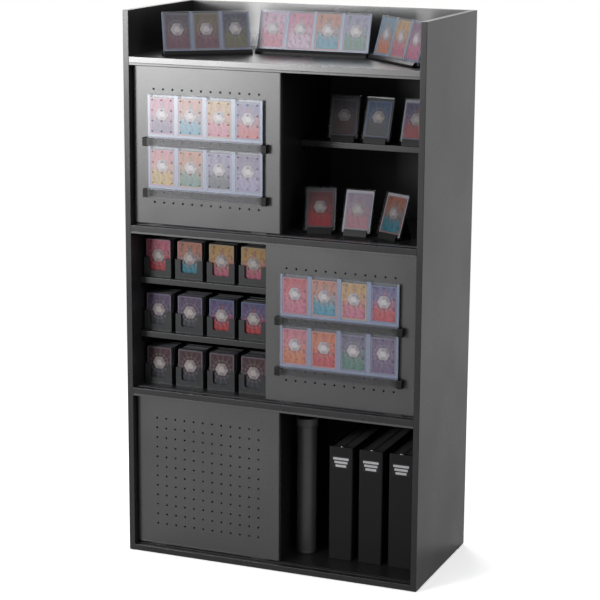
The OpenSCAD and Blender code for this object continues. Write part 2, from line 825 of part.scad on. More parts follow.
// The bracket at the left end of a rail: an end cap with a plug in the rail, and an arm
// behind the rail whose peg enters a perforation
module ledge_bracket() color(black_colour) {
  cap_d = rail_d + bracket_arm;
  arm_z = rail_h - peg_from_rail_top;
  arm_h = 2 * (peg_from_rail_top - 1);
  arm_len = grid_x - rail_x + hole_d;
  plug = rail_wall + slop;
  plug_len = 6;
  root = 1;
  cap_r = 2;
  translate([-bracket_w, 0, -bracket_over]) along_x(bracket_w)
    rounded(cap_d, rail_h + 2 * bracket_over, cap_r);
  translate([-root, plug, plug]) cube([plug_len + root, rail_d - 2 * plug, rail_h - 2 * plug]);
  translate([-root, rail_d, arm_z - arm_h / 2]) cube([arm_len + root, bracket_arm, arm_h]);
  translate([grid_x - rail_x, rail_d + bracket_arm - root, arm_z]) rod_y(peg_d, peg_len);
}

module place_rails(i) {
  place_door(i)
    for (row = peg_rows)
      translate([rail_x, rail_y, rail_z(row)]) children();
}

module door_rails(i) place_rails(i) ledge_rail();

module door_brackets(i) place_rails(i) {
  ledge_bracket();
  translate([strip_w, 0, 0]) mirror([1, 0, 0]) ledge_bracket();
}

module door_pockets(i) place_rails(i)
  translate([0, strip_inset, rail_h]) pocket_strip(door_cards, door_card_pitch, pocket_h);

module door_card_set(i) place_rails(i)
  translate([0, strip_inset, rail_h]) strip_cards(door_cards, door_card_pitch);

module middle_door_rails() door_rails(MIDDLE);
module upper_door_rails() door_rails(UPPER);
module middle_door_brackets() door_brackets(MIDDLE);
module upper_door_brackets() door_brackets(UPPER);
module middle_door_pockets() door_pockets(MIDDLE);
module upper_door_pockets() door_pockets(UPPER);
module middle_door_cards() door_card_set(MIDDLE);
module upper_door_cards() door_card_set(UPPER);

// Puts a tray stand where it stands; its origin is the middle of the strip's foot
module place_stand(st) {
  translate([st[0], front_y + st[1], tier_z(TOP)]) rotate([0, 0, st[2]]) children();
}

// Leans a strip of n cards back in its foot
module lean_strip(n) {
  translate([-n * stand_card_pitch / 2, 0, stand_slot_z]) rotate([-stand_tilt, 0, 0]) children();
}

module stand_foot(st) color(black_colour)
  place_stand(st)
    difference() {
      w = st[3] * stand_card_pitch;
      translate([-w / 2, -foot_front, 0]) along_x(w)
        polygon([[0, 0], [foot_d, 0], [foot_d, foot_tail_h],
          [foot_front + pocket_t + foot_rear_ramp, foot_h], [foot_ramp, foot_h], [0, foot_h / 2]]);
      translate([0, 0, stand_slot_z]) rotate([-stand_tilt, 0, 0])
        translate([-w / 2 - through, -slop, 0]) cube([w + 2 * through, pocket_t + 2 * slop, pocket_h]);
    }

module stand_pockets(st)
  place_stand(st) lean_strip(st[3]) pocket_strip(st[3], stand_card_pitch, stand_pocket_h);

module left_stand_foot() stand_foot(left_stand);
module centre_stand_foot() stand_foot(centre_stand);
module right_stand_foot() stand_foot(right_stand);
module left_stand_pockets() stand_pockets(left_stand);
module centre_stand_pockets() stand_pockets(centre_stand);
module right_stand_pockets() stand_pockets(right_stand);

module stand_cards()
  for (st = [left_stand, centre_stand, right_stand])
    place_stand(st) lean_strip(st[3]) strip_cards(st[3], stand_card_pitch);

// Puts something at each slab's place: the origin is the middle of the slab's foot
module at_slabs() {
  for (p = shelf_slabs)
    translate([in_right - p[0], card_shelf_y + p[1], card_shelf_z + board_t]) rotate([0, 0, p[2]]) children();
  for (p = floor_slabs)
    translate([in_right - p[0], shelf_y + p[1], tier_z(UPPER)]) rotate([0, 0, p[2]]) children();
}

function lean(up, back) = [up * sin(slab_tilt) + back * cos(slab_tilt),
  slab_seat + up * cos(slab_tilt) - back * sin(slab_tilt)];

// The easel: a folded strip with a front lip, a seat, a backrest and a rear strut
module easel_outline() {
  difference() {
    polygon([[-easel_wall - easel_toe, 0], [easel_rear, 0], [easel_rear, easel_wall],
      lean(easel_rest, slab_t + easel_wall + slop), lean(easel_rest, slab_t + slop),
      lean(-slop, slab_t + slop), lean(-slop, -slop), lean(easel_lip, -slop),
      lean(easel_lip, -easel_wall), lean(0, -easel_wall)]);
    polygon([[slab_t + easel_root, easel_wall], [easel_rear - easel_heel, easel_wall],
      lean(easel_rest - easel_crown, slab_t + 2 * easel_wall), lean(easel_heel, slab_t + easel_wall)]);
  }
}

module slab_easels() color(black_colour)
  at_slabs() translate([-easel_w / 2, 0, 0]) along_x(easel_w) easel_outline();

module lean_slab() {
  translate([0, 0, slab_seat]) rotate([-slab_tilt, 0, 0]) children();
}

// A slab: a front cover with a card recess in its back, and a flat rear cover
module card_slabs() color(clear_colour)
  at_slabs() lean_slab() {
    translate([-slab_w / 2, slab_front_t, 0]) difference() {
      rotate([90, 0, 0]) linear_extrude(slab_front_t) rounded(slab_w, slab_h, slab_r);
      translate([(slab_w - cavity_w) / 2, -slab_recess, (slab_h - card_h) / 2 - card_gap])
        cube([cavity_w, slab_recess + through, card_h + 2 * card_gap]);
    }
    translate([-slab_w / 2, slab_t, 0]) rotate([90, 0, 0])
      linear_extrude(slab_t - slab_front_t) rounded(slab_w, slab_h, slab_r);
  }

module slab_cards() color(card_colour)
  at_slabs() lean_slab()
    translate([-card_w / 2, slab_front_t - card_gap / 2, (slab_h - card_h) / 2])
      rotate([90, 0, 0]) linear_extrude(card_t) rounded(card_w, card_h, card_r);

module at_decks() {
  for (z = deck_floors, k = [0:deck_columns - 1])
    translate([in_left + deck_first + k * deck_pitch, deck_y, z]) children();
}

// A deck tray: low at the front with a notch that shows the card, stepping up to full-height sides
module deck_tray() {
  difference() {
    along_x(deck_w)
      polygon([[0, 0], [deck_d, 0], [deck_d, deck_h], [deck_step + deck_chamfer, deck_h],
        [deck_step, deck_h - deck_chamfer], [deck_step, deck_front_h + deck_shoulder],
        [deck_chamfer, deck_front_h], [0, deck_front_h]]);
    translate([deck_wall, deck_wall, deck_wall])
      cube([deck_w - 2 * deck_wall, deck_d - 2 * deck_wall, deck_h]);
    translate([(deck_w - deck_notch_w) / 2, deck_wall + through, deck_front_h / 3]) rotate([90, 0, 0])
      linear_extrude(deck_wall + 2 * through) rounded(deck_notch_w, deck_h, deck_notch_r);
  }
}

module deck_trays() color(black_colour) at_decks() deck_tray();

// The deck of cards that stands in a tray, its front card towards the notch
module deck_blocks() color(card_colour)
  at_decks()
    translate([(deck_w - block_w) / 2, deck_d - deck_wall, deck_wall]) rotate([90, 0, 0])
      linear_extrude(deck_d - deck_wall - deck_front_gap) rounded(block_w, block_h, block_r);

// The zipped binders: a wrap of spine and covers, and the zip band that closes it
module at_binders() {
  for (k = [0:binder_count - 1])
    translate([in_right - binder_wall_gap - binder_w - k * binder_pitch, binder_y, tier_z(LOWER)])
      children();
}

// The wrap: a spine at the front with round corners, and two covers
module binder_covers() color(black_colour)
  at_binders() linear_extrude(binder_h)
    difference() {
      translate([binder_w, 0]) rotate(90) front_rounded(binder_d, binder_w, binder_r);
      translate([binder_w - binder_cover, binder_cover]) rotate(90)
        front_rounded(binder_d, binder_w - 2 * binder_cover, binder_r - binder_cover);
    }

module binder_zips() color(black_colour)
  at_binders()
    translate([binder_w - binder_cover, binder_cover, zip_inset]) rotate([0, 0, 90])
      linear_extrude(binder_h - 2 * zip_inset)
        front_rounded(binder_d - binder_cover - zip_inset, binder_w - 2 * binder_cover, binder_r);

// The zip's slider at the top of the spine
module zip_pulls() color(steel_colour)
  at_binders()
    translate([(binder_w - zip_pull[0]) / 2, binder_cover, binder_h - zip_inset])
      cube(zip_pull);

// A round vessel, open at the top
module vessel(d, h, wall) {
  rotate_extrude($fn = 64) {
    square([d / 2, wall]);
    translate([d / 2 - wall, 0]) square([wall, h]);
  }
}

module mat_tube() color(tube_colour)
  translate([tube_x, tube_y, tier_z(LOWER)]) vessel(tube_d, tube_h - tube_cap_t, tube_wall);

// The cap slips over the tube's mouth
module tube_cap() color(tube_colour)
  translate([tube_x, tube_y, tier_z(LOWER) + tube_h]) mirror([0, 0, 1])
    vessel(tube_d + 2 * (tube_cap_t + slop), tube_cap_h, tube_cap_t);

left_side_panel();
right_side_panel();
bottom_panel();
lower_middle_panel();
upper_middle_panel();
top_panel();
tray_back_panel();
lower_back_board();
middle_back_board();
upper_back_board();
lower_divider();
middle_divider();
upper_divider();
card_shelf();
low_deck_shelf();
high_deck_shelf();
shelf_pins();
pin_sleeves();
floor_glides();
wood_screws();
cam_fittings();
dowels();
lower_door_track();
middle_door_track();
upper_door_track();
lower_door_guide();
middle_door_guide();
upper_door_guide();
lower_door_panel();
lower_door_glides();
middle_door_panel();
middle_door_glides();
upper_door_panel();
upper_door_glides();
middle_door_rails();
middle_door_brackets();
middle_door_pockets();
middle_door_cards();
upper_door_rails();
upper_door_brackets();
upper_door_pockets();
upper_door_cards();
left_stand_foot();
centre_stand_foot();
right_stand_foot();
left_stand_pockets();
centre_stand_pockets();
right_stand_pockets();
stand_cards();
slab_easels();
card_slabs();
slab_cards();
deck_trays();
deck_blocks();
binder_covers();
binder_zips();
zip_pulls();
mat_tube();
tube_cap();
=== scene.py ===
# %% [markdown]
# # A trading card display case
#
# The object is a tall cabinet of three tiers. Each tier is closed over half its width by a
# perforated sliding door, and an open tray on top holds clear stands with cards. The boards,
# doors, tracks and fastenings come from the CAD model, whose shapes are right, so they only
# need better materials. The clear strips, cards, slabs, card decks, binders and the mat tube
# carry detail that the CAD solids lack, so they are modelled here.
#
# The first cell loads the frame. Every number is in metres, the front faces -Y, and the origin
# is on the floor under the middle of the cabinet.

# %% Load the frame
import json
import math
import random

import bmesh
import bpy
from mathutils import Matrix, Vector


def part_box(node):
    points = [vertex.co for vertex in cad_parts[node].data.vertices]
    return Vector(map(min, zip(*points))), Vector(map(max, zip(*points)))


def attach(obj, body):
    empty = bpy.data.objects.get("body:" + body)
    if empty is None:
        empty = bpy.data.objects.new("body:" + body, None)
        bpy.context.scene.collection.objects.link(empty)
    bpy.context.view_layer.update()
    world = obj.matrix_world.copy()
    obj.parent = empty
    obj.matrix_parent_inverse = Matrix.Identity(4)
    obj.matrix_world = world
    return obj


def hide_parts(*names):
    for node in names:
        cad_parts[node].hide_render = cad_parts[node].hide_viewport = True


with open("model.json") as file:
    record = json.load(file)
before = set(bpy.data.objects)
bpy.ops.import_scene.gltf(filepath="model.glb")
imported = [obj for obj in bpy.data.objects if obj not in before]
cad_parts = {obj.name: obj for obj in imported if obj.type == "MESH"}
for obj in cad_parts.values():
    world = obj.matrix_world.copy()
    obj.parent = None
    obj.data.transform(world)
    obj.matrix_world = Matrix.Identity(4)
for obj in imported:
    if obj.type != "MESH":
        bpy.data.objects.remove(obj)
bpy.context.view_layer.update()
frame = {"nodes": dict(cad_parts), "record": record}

# %% [markdown]
# ## Camera
#
# The photograph was taken from the right of the front, a little above the cabinet, with a long
# lens: the upright edges hardly converge. A camera can be aimed with a constraint or with
# angles. A matrix of its three axes is the most direct here, because the turn, the downward
# pitch and the slight roll were measured one by one.

# %% Camera
CAMERA_TURN, CAMERA_PITCH, CAMERA_ROLL = (math.radians(v) for v in (22.156, 12.857, 0.357))
CAMERA_PLACE = Vector((1.8061, -4.4297, 1.7372))
LENS = 118.94

into = Vector((
    -math.sin(CAMERA_TURN) * math.cos(CAMERA_PITCH),
    math.cos(CAMERA_TURN) * math.cos(CAMERA_PITCH),
    -math.sin(CAMERA_PITCH),
))
level = Vector((math.cos(CAMERA_TURN), math.sin(CAMERA_TURN), 0))
upward = level.cross(into)
right = level * math.cos(CAMERA_ROLL) + upward * math.sin(CAMERA_ROLL)
up = upward * math.cos(CAMERA_ROLL) - level * math.sin(CAMERA_ROLL)

camera = bpy.data.objects.new("camera", bpy.data.cameras.new("camera"))
bpy.context.scene.collection.objects.link(camera)
axes = Matrix((right, up, -into)).transposed()
camera.matrix_world = Matrix.Translation(CAMERA_PLACE) @ axes.to_4x4()
camera.data.lens = LENS
camera.data.clip_start, camera.data.clip_end = 0.05, 60
bpy.context.scene.camera = camera
print("camera looks along", [round(v, 3) for v in into])

# %% [markdown]
# ## Nodes in one line
#
# A procedural material is a small graph of nodes. Adding each node takes a line for the node
# and one for each link, which hides what the graph does. This helper adds a node, sets or links
# its inputs and hands back one of its outputs, so that a pattern reads like a sentence.

# %% Node helpers
def node(tree, kind, inputs=None, out=0, **settings):
    """Adds a shader node; inputs are values or other nodes' outputs. Returns its output."""
    made = tree.nodes.new("ShaderNode" + kind)
    for key, value in settings.items():
        setattr(made, key, value)
    for key, value in (inputs or {}).items():
        if isinstance(value, bpy.types.NodeSocket):
            tree.links.new(value, made.inputs[key])
        else:
            made.inputs[key].default_value = value
    return made.outputs[out]


def calc(tree, operation, *values):
    """A Math node on up to three numbers or outputs."""
    return node(tree, "Math", dict(enumerate(values)), operation=operation)


WHITE, BLACK = (1, 1, 1, 1), (0, 0, 0, 1)


def tone(*screen):
    """A colour picked on screen, 0 to 255, as the linear value that a shader takes."""
    shares = [v / 255 for v in screen]
    return (*[v / 12.92 if v < 0.04045 else ((v + 0.055) / 1.055) ** 2.4 for v in shares], 1)


def blend(tree, amount, low, high):
    """A colour between low and high."""
    return node(tree, "Mix", {"Factor": amount, 6: low, 7: high}, out=2, data_type="RGBA")


def spread(tree, source, low, high, start=0.0, end=1.0):
    """A number from low to high as source goes from start to end."""
    return node(tree, "MapRange", {"Value": source, "From Min": start, "From Max": end,
                                   "To Min": low, "To Max": high})


def noise(tree, place, scale, detail=3.0):
    """Soft random blotches; scale is about how many there are to a metre."""
    return node(tree, "TexNoise", {"Vector": place, "Scale": scale, "Detail": detail})


def stretched(tree, place, scale):
    """Coordinates scaled by a different number along each axis, for grain and brushing."""
    return node(tree, "Mapping", {"Vector": place, "Scale": scale})


FINISHES = {}


def new_material(name):
    """A new material: returns it, its tree and its Principled shader."""
    made = bpy.data.materials.new(name)
    made.use_nodes = True
    return made, made.node_tree, made.node_tree.nodes["Principled BSDF"]


def finish(slot, **sockets):
    """A material for one slot of the record: returns its tree, shader and object coordinates."""
    FINISHES[slot], tree, shader = new_material(slot)
    for key, value in sockets.items():
        socket = key.replace("_", " ").title().replace("Ior", "IOR")
        shader.inputs[socket].default_value = value
    return tree, shader, node(tree, "TexCoord", out=3)


def show(tree, shader):
    """Makes a shader the one that the surface shows."""
    tree.links.new(shader, tree.nodes["Material Output"].inputs["Surface"])


def surface(tree, shader, colour=None, roughness=None, height=None, depth=0.0001, soften=None):
    """Links the patterns to the shader. soften rounds the shading of sharp edges by a radius."""
    if colour is not None:
        tree.links.new(colour, shader.inputs["Base Color"])
    if roughness is not None:
        tree.links.new(roughness, shader.inputs["Roughness"])
    normal = node(tree, "Bevel", {"Radius": soften}, samples=4) if soften else None
    if height is not None:
        given = {"Height": height, "Distance": depth, "Strength": 1.0}
        if normal is not None:
            given["Normal"] = normal
        normal = node(tree, "Bump", given)
    if normal is not None:
        tree.links.new(normal, shader.inputs["Normal"])


print("node helpers ready")

# %% [markdown]
# ## Boards
#
# The cabinet is particle board faced in charcoal melamine with a satin finish. What reads as
# grey in the photograph is mostly the white studio mirrored in a nearly black face, so the
# colour is dark and the reflection does the rest. A real melamine face isn't smooth: it has a
# fine press grain, soft blotches in its sheen, and edges rounded by the banding tool. The two
# boards of the tray have the same finish with a stronger sheen.

# %% Board and back board
def melamine(slot, sheen):
    """The boards' face; sheen is how strongly it mirrors the studio."""
    tree, shader, place = finish(slot, roughness=0.4, specular_ior_level=sheen)
    press_grain = noise(tree, place, 420, 6)
    blotches = noise(tree, place, 5, 2)
    pressed = spread(tree, press_grain, 0, 1, 0.35, 0.7)
    surface(
        tree, shader, colour=blend(tree, pressed, tone(18, 18, 19), tone(29, 29, 30)),
        roughness=spread(tree, blotches, 0.25, 0.32, 0.3, 0.7),
        height=press_grain, depth=0.00003, soften=0.0012,
    )


melamine("board", 0.26)
melamine("tray_floor", 0.75)
melamine("tray_wall", 0.85)

# The back board is black hardboard with long fibres. Its colour, darker than the boards', is partly
# its own black and partly painted shade for the compartments' insides.
tree, shader, place = finish("back_board", roughness=0.6, specular_ior_level=0.2)
fibres = noise(tree, stretched(tree, place, (60, 60, 900)), 1, 4)
surface(
    tree, shader, colour=blend(tree, fibres, tone(6, 6, 6), tone(13, 13, 14)),
    roughness=spread(tree, fibres, 0.5, 0.7), height=fibres, depth=0.00005,
)
print("board finishes ready")

# %% [markdown]
# ## Metal and small fittings
#
# The doors are folded sheet steel with a powder coat: slightly lighter than the boards, with
# the shallow dimples that the baked powder leaves, often called orange peel. The tracks are
# aluminium, brushed along the extrusion and anodised black. The cams are zinc plated, and the
# screws, sleeves and pins that show on the dark boards are blackened.

# %% Door metal, aluminium and steel
tree, shader, place = finish("door_metal", roughness=0.42)
peel = noise(tree, place, 620, 2)
clouds = noise(tree, place, 7, 3)
powder = spread(tree, peel, 0, 1, 0.3, 0.7)
surface(
    tree, shader, colour=blend(tree, powder, tone(32, 32, 33), tone(44, 44, 45)),
    roughness=spread(tree, clouds, 0.28, 0.33, 0.3, 0.7),
    height=peel, depth=0.00003, soften=0.0008,
)

tree, shader, place = finish("track_aluminium", metallic=1.0, roughness=0.35)
brushing = noise(tree, stretched(tree, place, (6, 1400, 1400)), 1, 3)
surface(
    tree, shader, colour=blend(tree, brushing, tone(40, 40, 42), tone(62, 62, 64)),
    roughness=spread(tree, brushing, 0.34, 0.55), height=brushing, depth=0.00005,
)


def plated(slot, scale, dark, light, smoothest, roughest):
    """Plating: fine blotches in the metal's colour and gloss."""
    tree, shader, place = finish(slot, metallic=1.0)
    plating = noise(tree, place, scale, 4)
    surface(
        tree, shader, colour=blend(tree, plating, dark, light),
        roughness=spread(tree, plating, smoothest, roughest),
        height=plating, depth=0.00004, soften=0.0004,
    )


plated("steel", 180, tone(165, 167, 172), tone(214, 215, 216), 0.22, 0.42)
plated("black_zinc", 220, tone(26, 26, 28), tone(46, 46, 49), 0.32, 0.5)
print("metal finishes ready")

# %% [markdown]
# The moulded plastics share one idea: a spark-eroded texture, which is a fine, even noise in
# the bump and in the roughness. They differ in colour, gloss and how coarse that texture is,
# so one function makes all of them.

# %% Moulded plastics and dowel wood
def moulded(slot, dark, light, rough, texture, sheen=0.35):
    """A moulded plastic; texture is the scale of its fine grain."""
    tree, shader, place = finish(slot, specular_ior_level=sheen)
    speckle = noise(tree, place, texture, 4)
    flow = noise(tree, place, 14, 2)
    surface(
        tree, shader, colour=blend(tree, flow, dark, light),
        roughness=spread(tree, speckle, rough - 0.08, rough + 0.08, 0.3, 0.7),
        height=speckle, depth=0.00003, soften=0.0006,
    )


moulded("black_plastic", tone(10, 10, 11), tone(17, 17, 18), 0.4, 900, 0.1)
moulded("tray_plastic", tone(27, 28, 29), tone(36, 37, 38), 0.36, 1100, 0.15)
moulded("tube_plastic", tone(54, 54, 56), tone(62, 62, 64), 0.38, 700)
moulded("nylon", tone(24, 24, 25), tone(36, 36, 37), 0.45, 800)

tree, shader, place = finish("dowel_wood", roughness=0.7)
rings = noise(tree, stretched(tree, place, (40, 700, 700)), 1, 4)
surface(tree, shader, colour=blend(tree, rings, tone(176, 132, 84), tone(222, 186, 138)),
        height=rings, depth=0.0002)
print("plastic and wood finishes ready")

# %% [markdown]
# ## Clear plastic
#
# Real acrylic bends light, and a ray tracer can do that with a glass shader, but the cards
# stand in thin pockets behind it and would turn dark, because a lamp's light doesn't pass
# through glass in a direct way. Thin clear sheet hardly bends what is behind it. So the sheet
# is a transparent shader with a gloss whose strength follows the Fresnel law. The hard cases of
# the slabs have a coating that mirrors less, and so does the sheet behind the cards. Cut edges
# gather light and look frosted and bluish: they are a second material, partly see-through, whose
# pale colour is partly frosting and partly a painted glow of the gathered light.

# %% Clear plastic and its frosted edges, with a painted glow
def clear(name, tint, rough, bending=1.49):
    """Thin clear sheet; bending is the index that sets how strongly it mirrors."""
    made, tree, shader = new_material(name)
    tree.nodes.remove(shader)
    place = node(tree, "TexCoord", out=3)
    ripple = noise(tree, place, 60, 2)
    bump = node(tree, "Bump", {"Height": ripple, "Distance": 0.00003, "Strength": 0.5})
    gloss = node(tree, "BsdfGlossy", {"Color": WHITE, "Roughness": rough, "Normal": bump})
    see_through = node(tree, "BsdfTransparent", {"Color": tint})
    outer = calc(tree, "SUBTRACT", 1.0, node(tree, "NewGeometry", out=6))
    mirror = calc(tree, "MULTIPLY", node(tree, "Fresnel", {"IOR": bending}), outer)
    show(tree, node(tree, "MixShader", {0: mirror, 1: see_through, 2: gloss}))
    return made


def frosted(name, colour, solid):
    """A cut or welded edge, pale and frosted, which on rims also stands for a painted glow; solid
    is its share of plain, hazy surface.
    """
    made, tree, shader = new_material(name)
    shader.inputs["Roughness"].default_value = 0.25
    haze = noise(tree, node(tree, "TexCoord", out=3), 90, 3)
    dim = (*[c * 0.8 for c in colour[:3]], 1)
    tree.links.new(blend(tree, haze, dim, colour), shader.inputs["Base Color"])
    see_through = node(tree, "BsdfTransparent", {"Color": (0.92, 0.95, 1, 1)})
    show(tree, node(tree, "MixShader", {0: solid, 1: see_through, 2: shader.outputs[0]}))
    return made


CLEAR_TINT = (0.97, 0.98, 0.995, 1)
FINISHES["clear_plastic"] = clear("clear_plastic", CLEAR_TINT, 0.3)
# Painted glow: the pale rims of the sheets and the slab cases are partly frosting and partly
# painted gathered light.
acrylic_edge_and_glow = frosted("acrylic_edge_and_glow", tone(156, 161, 178), 0.7)
acrylic_rib = frosted("acrylic_rib", tone(94, 101, 120), 0.8)
case_edge_and_glow = frosted("case_edge_and_glow", tone(84, 88, 96), 0.35)
case_wall = clear("case_wall", (0.98, 0.985, 0.99, 1), 0.2, 1.18)
inner_sheet = clear("inner_sheet", CLEAR_TINT, 0.4, 1.15)
FINISHES["smoked_rail"] = clear("smoked_rail", (0.82, 0.82, 0.83, 1), 0.35, 1.3)
print("clear finishes ready")

# %% [markdown]
# ## Binder skin
#
# The binders are covered in black imitation leather with a pebbled grain and closed by a woven
# zip tape. A Voronoi texture gives the pebbles, and two crossed waves give the weave.

# %% Binder cover and zip tape
tree, shader, place = finish("binder_cover", specular_ior_level=0.09)
pebbles = node(tree, "TexVoronoi", {"Vector": place, "Scale": 620.0}, feature="F1")
creases = noise(tree, place, 260, 5)
grain = calc(tree, "ADD", pebbles, creases)
raised = spread(tree, grain, 0, 1, 0.4, 1.4)
surface(
    tree, shader, colour=blend(tree, raised, tone(8, 8, 9), tone(15, 15, 16)),
    roughness=spread(tree, creases, 0.45, 0.6, 0.3, 0.7),
    height=grain, depth=0.00008, soften=0.0006,
)

tree, shader, place = finish("binder_fabric", roughness=0.85)
warp, weft, cross = [
    node(tree, "TexWave", {"Vector": place, "Scale": 420.0}, out=1, bands_direction=axis)
    for axis in "XZY"
]
weave = calc(tree, "MULTIPLY", calc(tree, "MAXIMUM", warp, weft), cross)
surface(tree, shader, colour=blend(tree, weave, tone(15, 15, 16), tone(34, 34, 35)),
        height=weave, depth=0.0002)
print("binder finishes ready")

# %% [markdown]
# ## Card faces
#
# The cards in the photograph carry colourful pictures. Here they get a plain design of their
# own: two colours that flow into each other, a fan of rays, and a pale cut gem with a ring
# round it, inside a narrow border. The pattern follows each card's UV map. The two colours and
# a painted shade factor, which darkens the whole face towards black on cards in the dark
# compartments, are attributes of the card's vertices, so one material serves every card in the
# case.

# %% Card ground
CARD_ASPECT = 63 / 88
RAY_COUNT = 14.0


def card_ground(tree, uv, u, v, above, below):
    """The upper colour and the lower one, which drift into each other like clouds."""
    wave = calc(tree, "MULTIPLY", calc(tree, "SINE", calc(tree, "MULTIPLY", u, 9.0)), 0.05)
    drift = spread(tree, noise(tree, uv, 4.5, 4), -0.22, 0.22, 0.3, 0.7)
    level_at = calc(tree, "ADD", calc(tree, "ADD", v, wave), drift)
    ground = blend(tree, spread(tree, level_at, 0, 1, 0.3, 0.68), below, above)
    shading = spread(tree, noise(tree, uv, 8, 5), 0.75, 0.0, 0.36, 0.5)
    return blend(tree, shading, ground, tone(22, 20, 28))


def card_rays(tree, ground, angle, radius):
    """Paler rays that fan out from the gem and fade towards the edges."""
    fan = calc(tree, "SINE", calc(tree, "MULTIPLY", angle, RAY_COUNT))
    fading = spread(tree, radius, 1, 0.1, 0.1, 0.5)
    lit = calc(tree, "MULTIPLY", spread(tree, fan, 0, 0.12, 0.0, 0.4), fading)
    return blend(tree, lit, ground, tone(160, 150, 142))


print("card ground ready")

# %% [markdown]
# The gem is a hexagon: within each sixth of a turn, the distance from the middle to a flat side
# is the radius times a cosine. A step on that distance cuts the outline, and a second, smaller
# one cuts the table. Each sixth gets its own tone, as the facets of a stone do.

# %% Gem, border and the whole card face
GEM_R, TABLE_R, GEM_HEIGHT = 0.165, 0.08, 0.56
RING_R, RING_HALF_W, BORDER_W = 0.25, 0.008, 0.035


def card_gem(tree, ground, angle, radius):
    """The faceted gem on the ground, with a faint ring round it."""
    sixth = calc(tree, "MODULO", calc(tree, "ADD", angle, math.pi * 3), math.pi / 3)
    slant = calc(tree, "COSINE", calc(tree, "SUBTRACT", sixth, math.pi / 6))
    flat = calc(tree, "MULTIPLY", radius, slant)
    number = calc(tree, "FLOOR", calc(tree, "DIVIDE", angle, math.pi / 3))
    facet = calc(tree, "FRACT", calc(tree, "MULTIPLY", number, 0.37))
    table = calc(tree, "LESS_THAN", flat, TABLE_R)
    pale = spread(tree, calc(tree, "ADD", facet, table), 0, 1, 0, 1.4)
    gem_tone = blend(tree, pale, tone(94, 86, 90), tone(136, 130, 128))
    ring = calc(tree, "COMPARE", radius, RING_R, RING_HALF_W)
    ringed = blend(tree, calc(tree, "MULTIPLY", ring, 0.18), ground, tone(150, 142, 134))
    return blend(tree, calc(tree, "LESS_THAN", flat, GEM_R), ringed, gem_tone)


def card_finish():
    """The printed face: ground, rays, fine foil grain, gem and a narrow, paler border."""
    tree, shader, _ = finish("card", roughness=0.4, specular_ior_level=0.15)
    uv = node(tree, "UVMap", uv_map="card_map")
    parts = tree.nodes.new("ShaderNodeSeparateXYZ")
    tree.links.new(uv, parts.inputs[0])
    u, v = parts.outputs[0], parts.outputs[1]
    above, shade_factor = [node(tree, "Attribute", attribute_name="card_top", out=k) for k in (0, 3)]
    below = node(tree, "Attribute", attribute_name="card_low")
    x = calc(tree, "MULTIPLY", calc(tree, "SUBTRACT", u, 0.5), CARD_ASPECT)
    y = calc(tree, "SUBTRACT", v, GEM_HEIGHT)
    squares = [calc(tree, "MULTIPLY", side, side) for side in (x, y)]
    radius, angle = calc(tree, "SQRT", calc(tree, "ADD", *squares)), calc(tree, "ARCTAN2", y, x)
    rayed = card_rays(tree, card_ground(tree, uv, u, v, above, below), angle, radius)
    foil = node(tree, "TexVoronoi", {"Vector": uv, "Scale": 26.0}, feature="F1")
    grained = blend(tree, spread(tree, foil, 0.0, 0.28, 0.2, 0.7), rayed, below)
    with_gem = card_gem(tree, grained, angle, radius)
    from_sides = [calc(tree, "MULTIPLY", share, CARD_ASPECT)
                  for share in (u, calc(tree, "SUBTRACT", 1.0, u))]
    from_ends = (v, calc(tree, "SUBTRACT", 1.0, v))
    rim = calc(tree, "MINIMUM", calc(tree, "MINIMUM", *from_sides),
               calc(tree, "MINIMUM", *from_ends))
    border_tone = blend(tree, 0.4, above, tone(96, 96, 106))
    framed = blend(tree, calc(tree, "LESS_THAN", rim, BORDER_W), with_gem, border_tone)
    # Painted shade: the face is darkened towards black by the card's shade factor.
    printed = blend(tree, shade_factor, BLACK, framed)
    surface(tree, shader, colour=printed, height=foil, depth=0.00002)


card_finish()

tree, shader, place = finish("card_stock", roughness=0.55)
sheets = node(tree, "TexWave", {"Vector": place, "Scale": 260.0, "Distortion": 0.6},
              out=1, bands_direction="Y")
surface(tree, shader, colour=blend(tree, sheets, tone(20, 20, 23), tone(62, 62, 67)),
        height=sheets, depth=0.0002)
print("card finishes ready")

# %% [markdown]
# ## Dress the CAD nodes
#
# Each CAD node names its material slot in the record, so one loop puts the new materials on
# the nodes that stay. A node's mesh isn't touched. The tray's boards, the rails on the doors
# and the small fittings that show on dark boards then get finishes of their own.

# %% New materials on the CAD nodes
slot_of = {part["node"]: part["material_slot"] for part in frame["record"]["subparts"]}
for name, part in frame["nodes"].items():
    part.data.materials.clear()
    part.data.materials.append(FINISHES[slot_of[name]])
OWN_FINISH = {
    "top_panel": "tray_floor", "tray_back_panel": "tray_wall",
    "upper_door_rails": "smoked_rail", "middle_door_rails": "smoked_rail",
    "pin_sleeves": "black_zinc", "shelf_pins": "black_zinc", "wood_screws": "black_zinc",
}
for name, own in OWN_FINISH.items():
    frame["nodes"][name].data.materials[0] = FINISHES[own]
print(len(slot_of), "nodes dressed")

# %% [markdown]
# ## Shapes and pieces
#
# A flat plate with rounded corners is the mother of most things here: card, slab, strip and
# label. It is a cube, scaled, with the four edges through its thickness bevelled. Each shape is
# made at the origin in a bmesh of its own, moved with a matrix and added to the piece, so a
# piece's own object stays at the origin.

# %% Shape helpers
def block(w, d, h):
    """A cube w by d by h with its lower left front corner at the origin."""
    bm = bmesh.new()
    spanning = Matrix.Diagonal((w, d, h, 1)) @ Matrix.Translation((0.5, 0.5, 0.5))
    bmesh.ops.create_cube(bm, size=1, matrix=spanning)
    return bm


def edges_along(bm, axis):
    """The edges that run along axis 0, 1 or 2."""
    return [e for e in bm.edges
            if abs((e.verts[0].co - e.verts[1].co).normalized()[axis]) > 0.999]


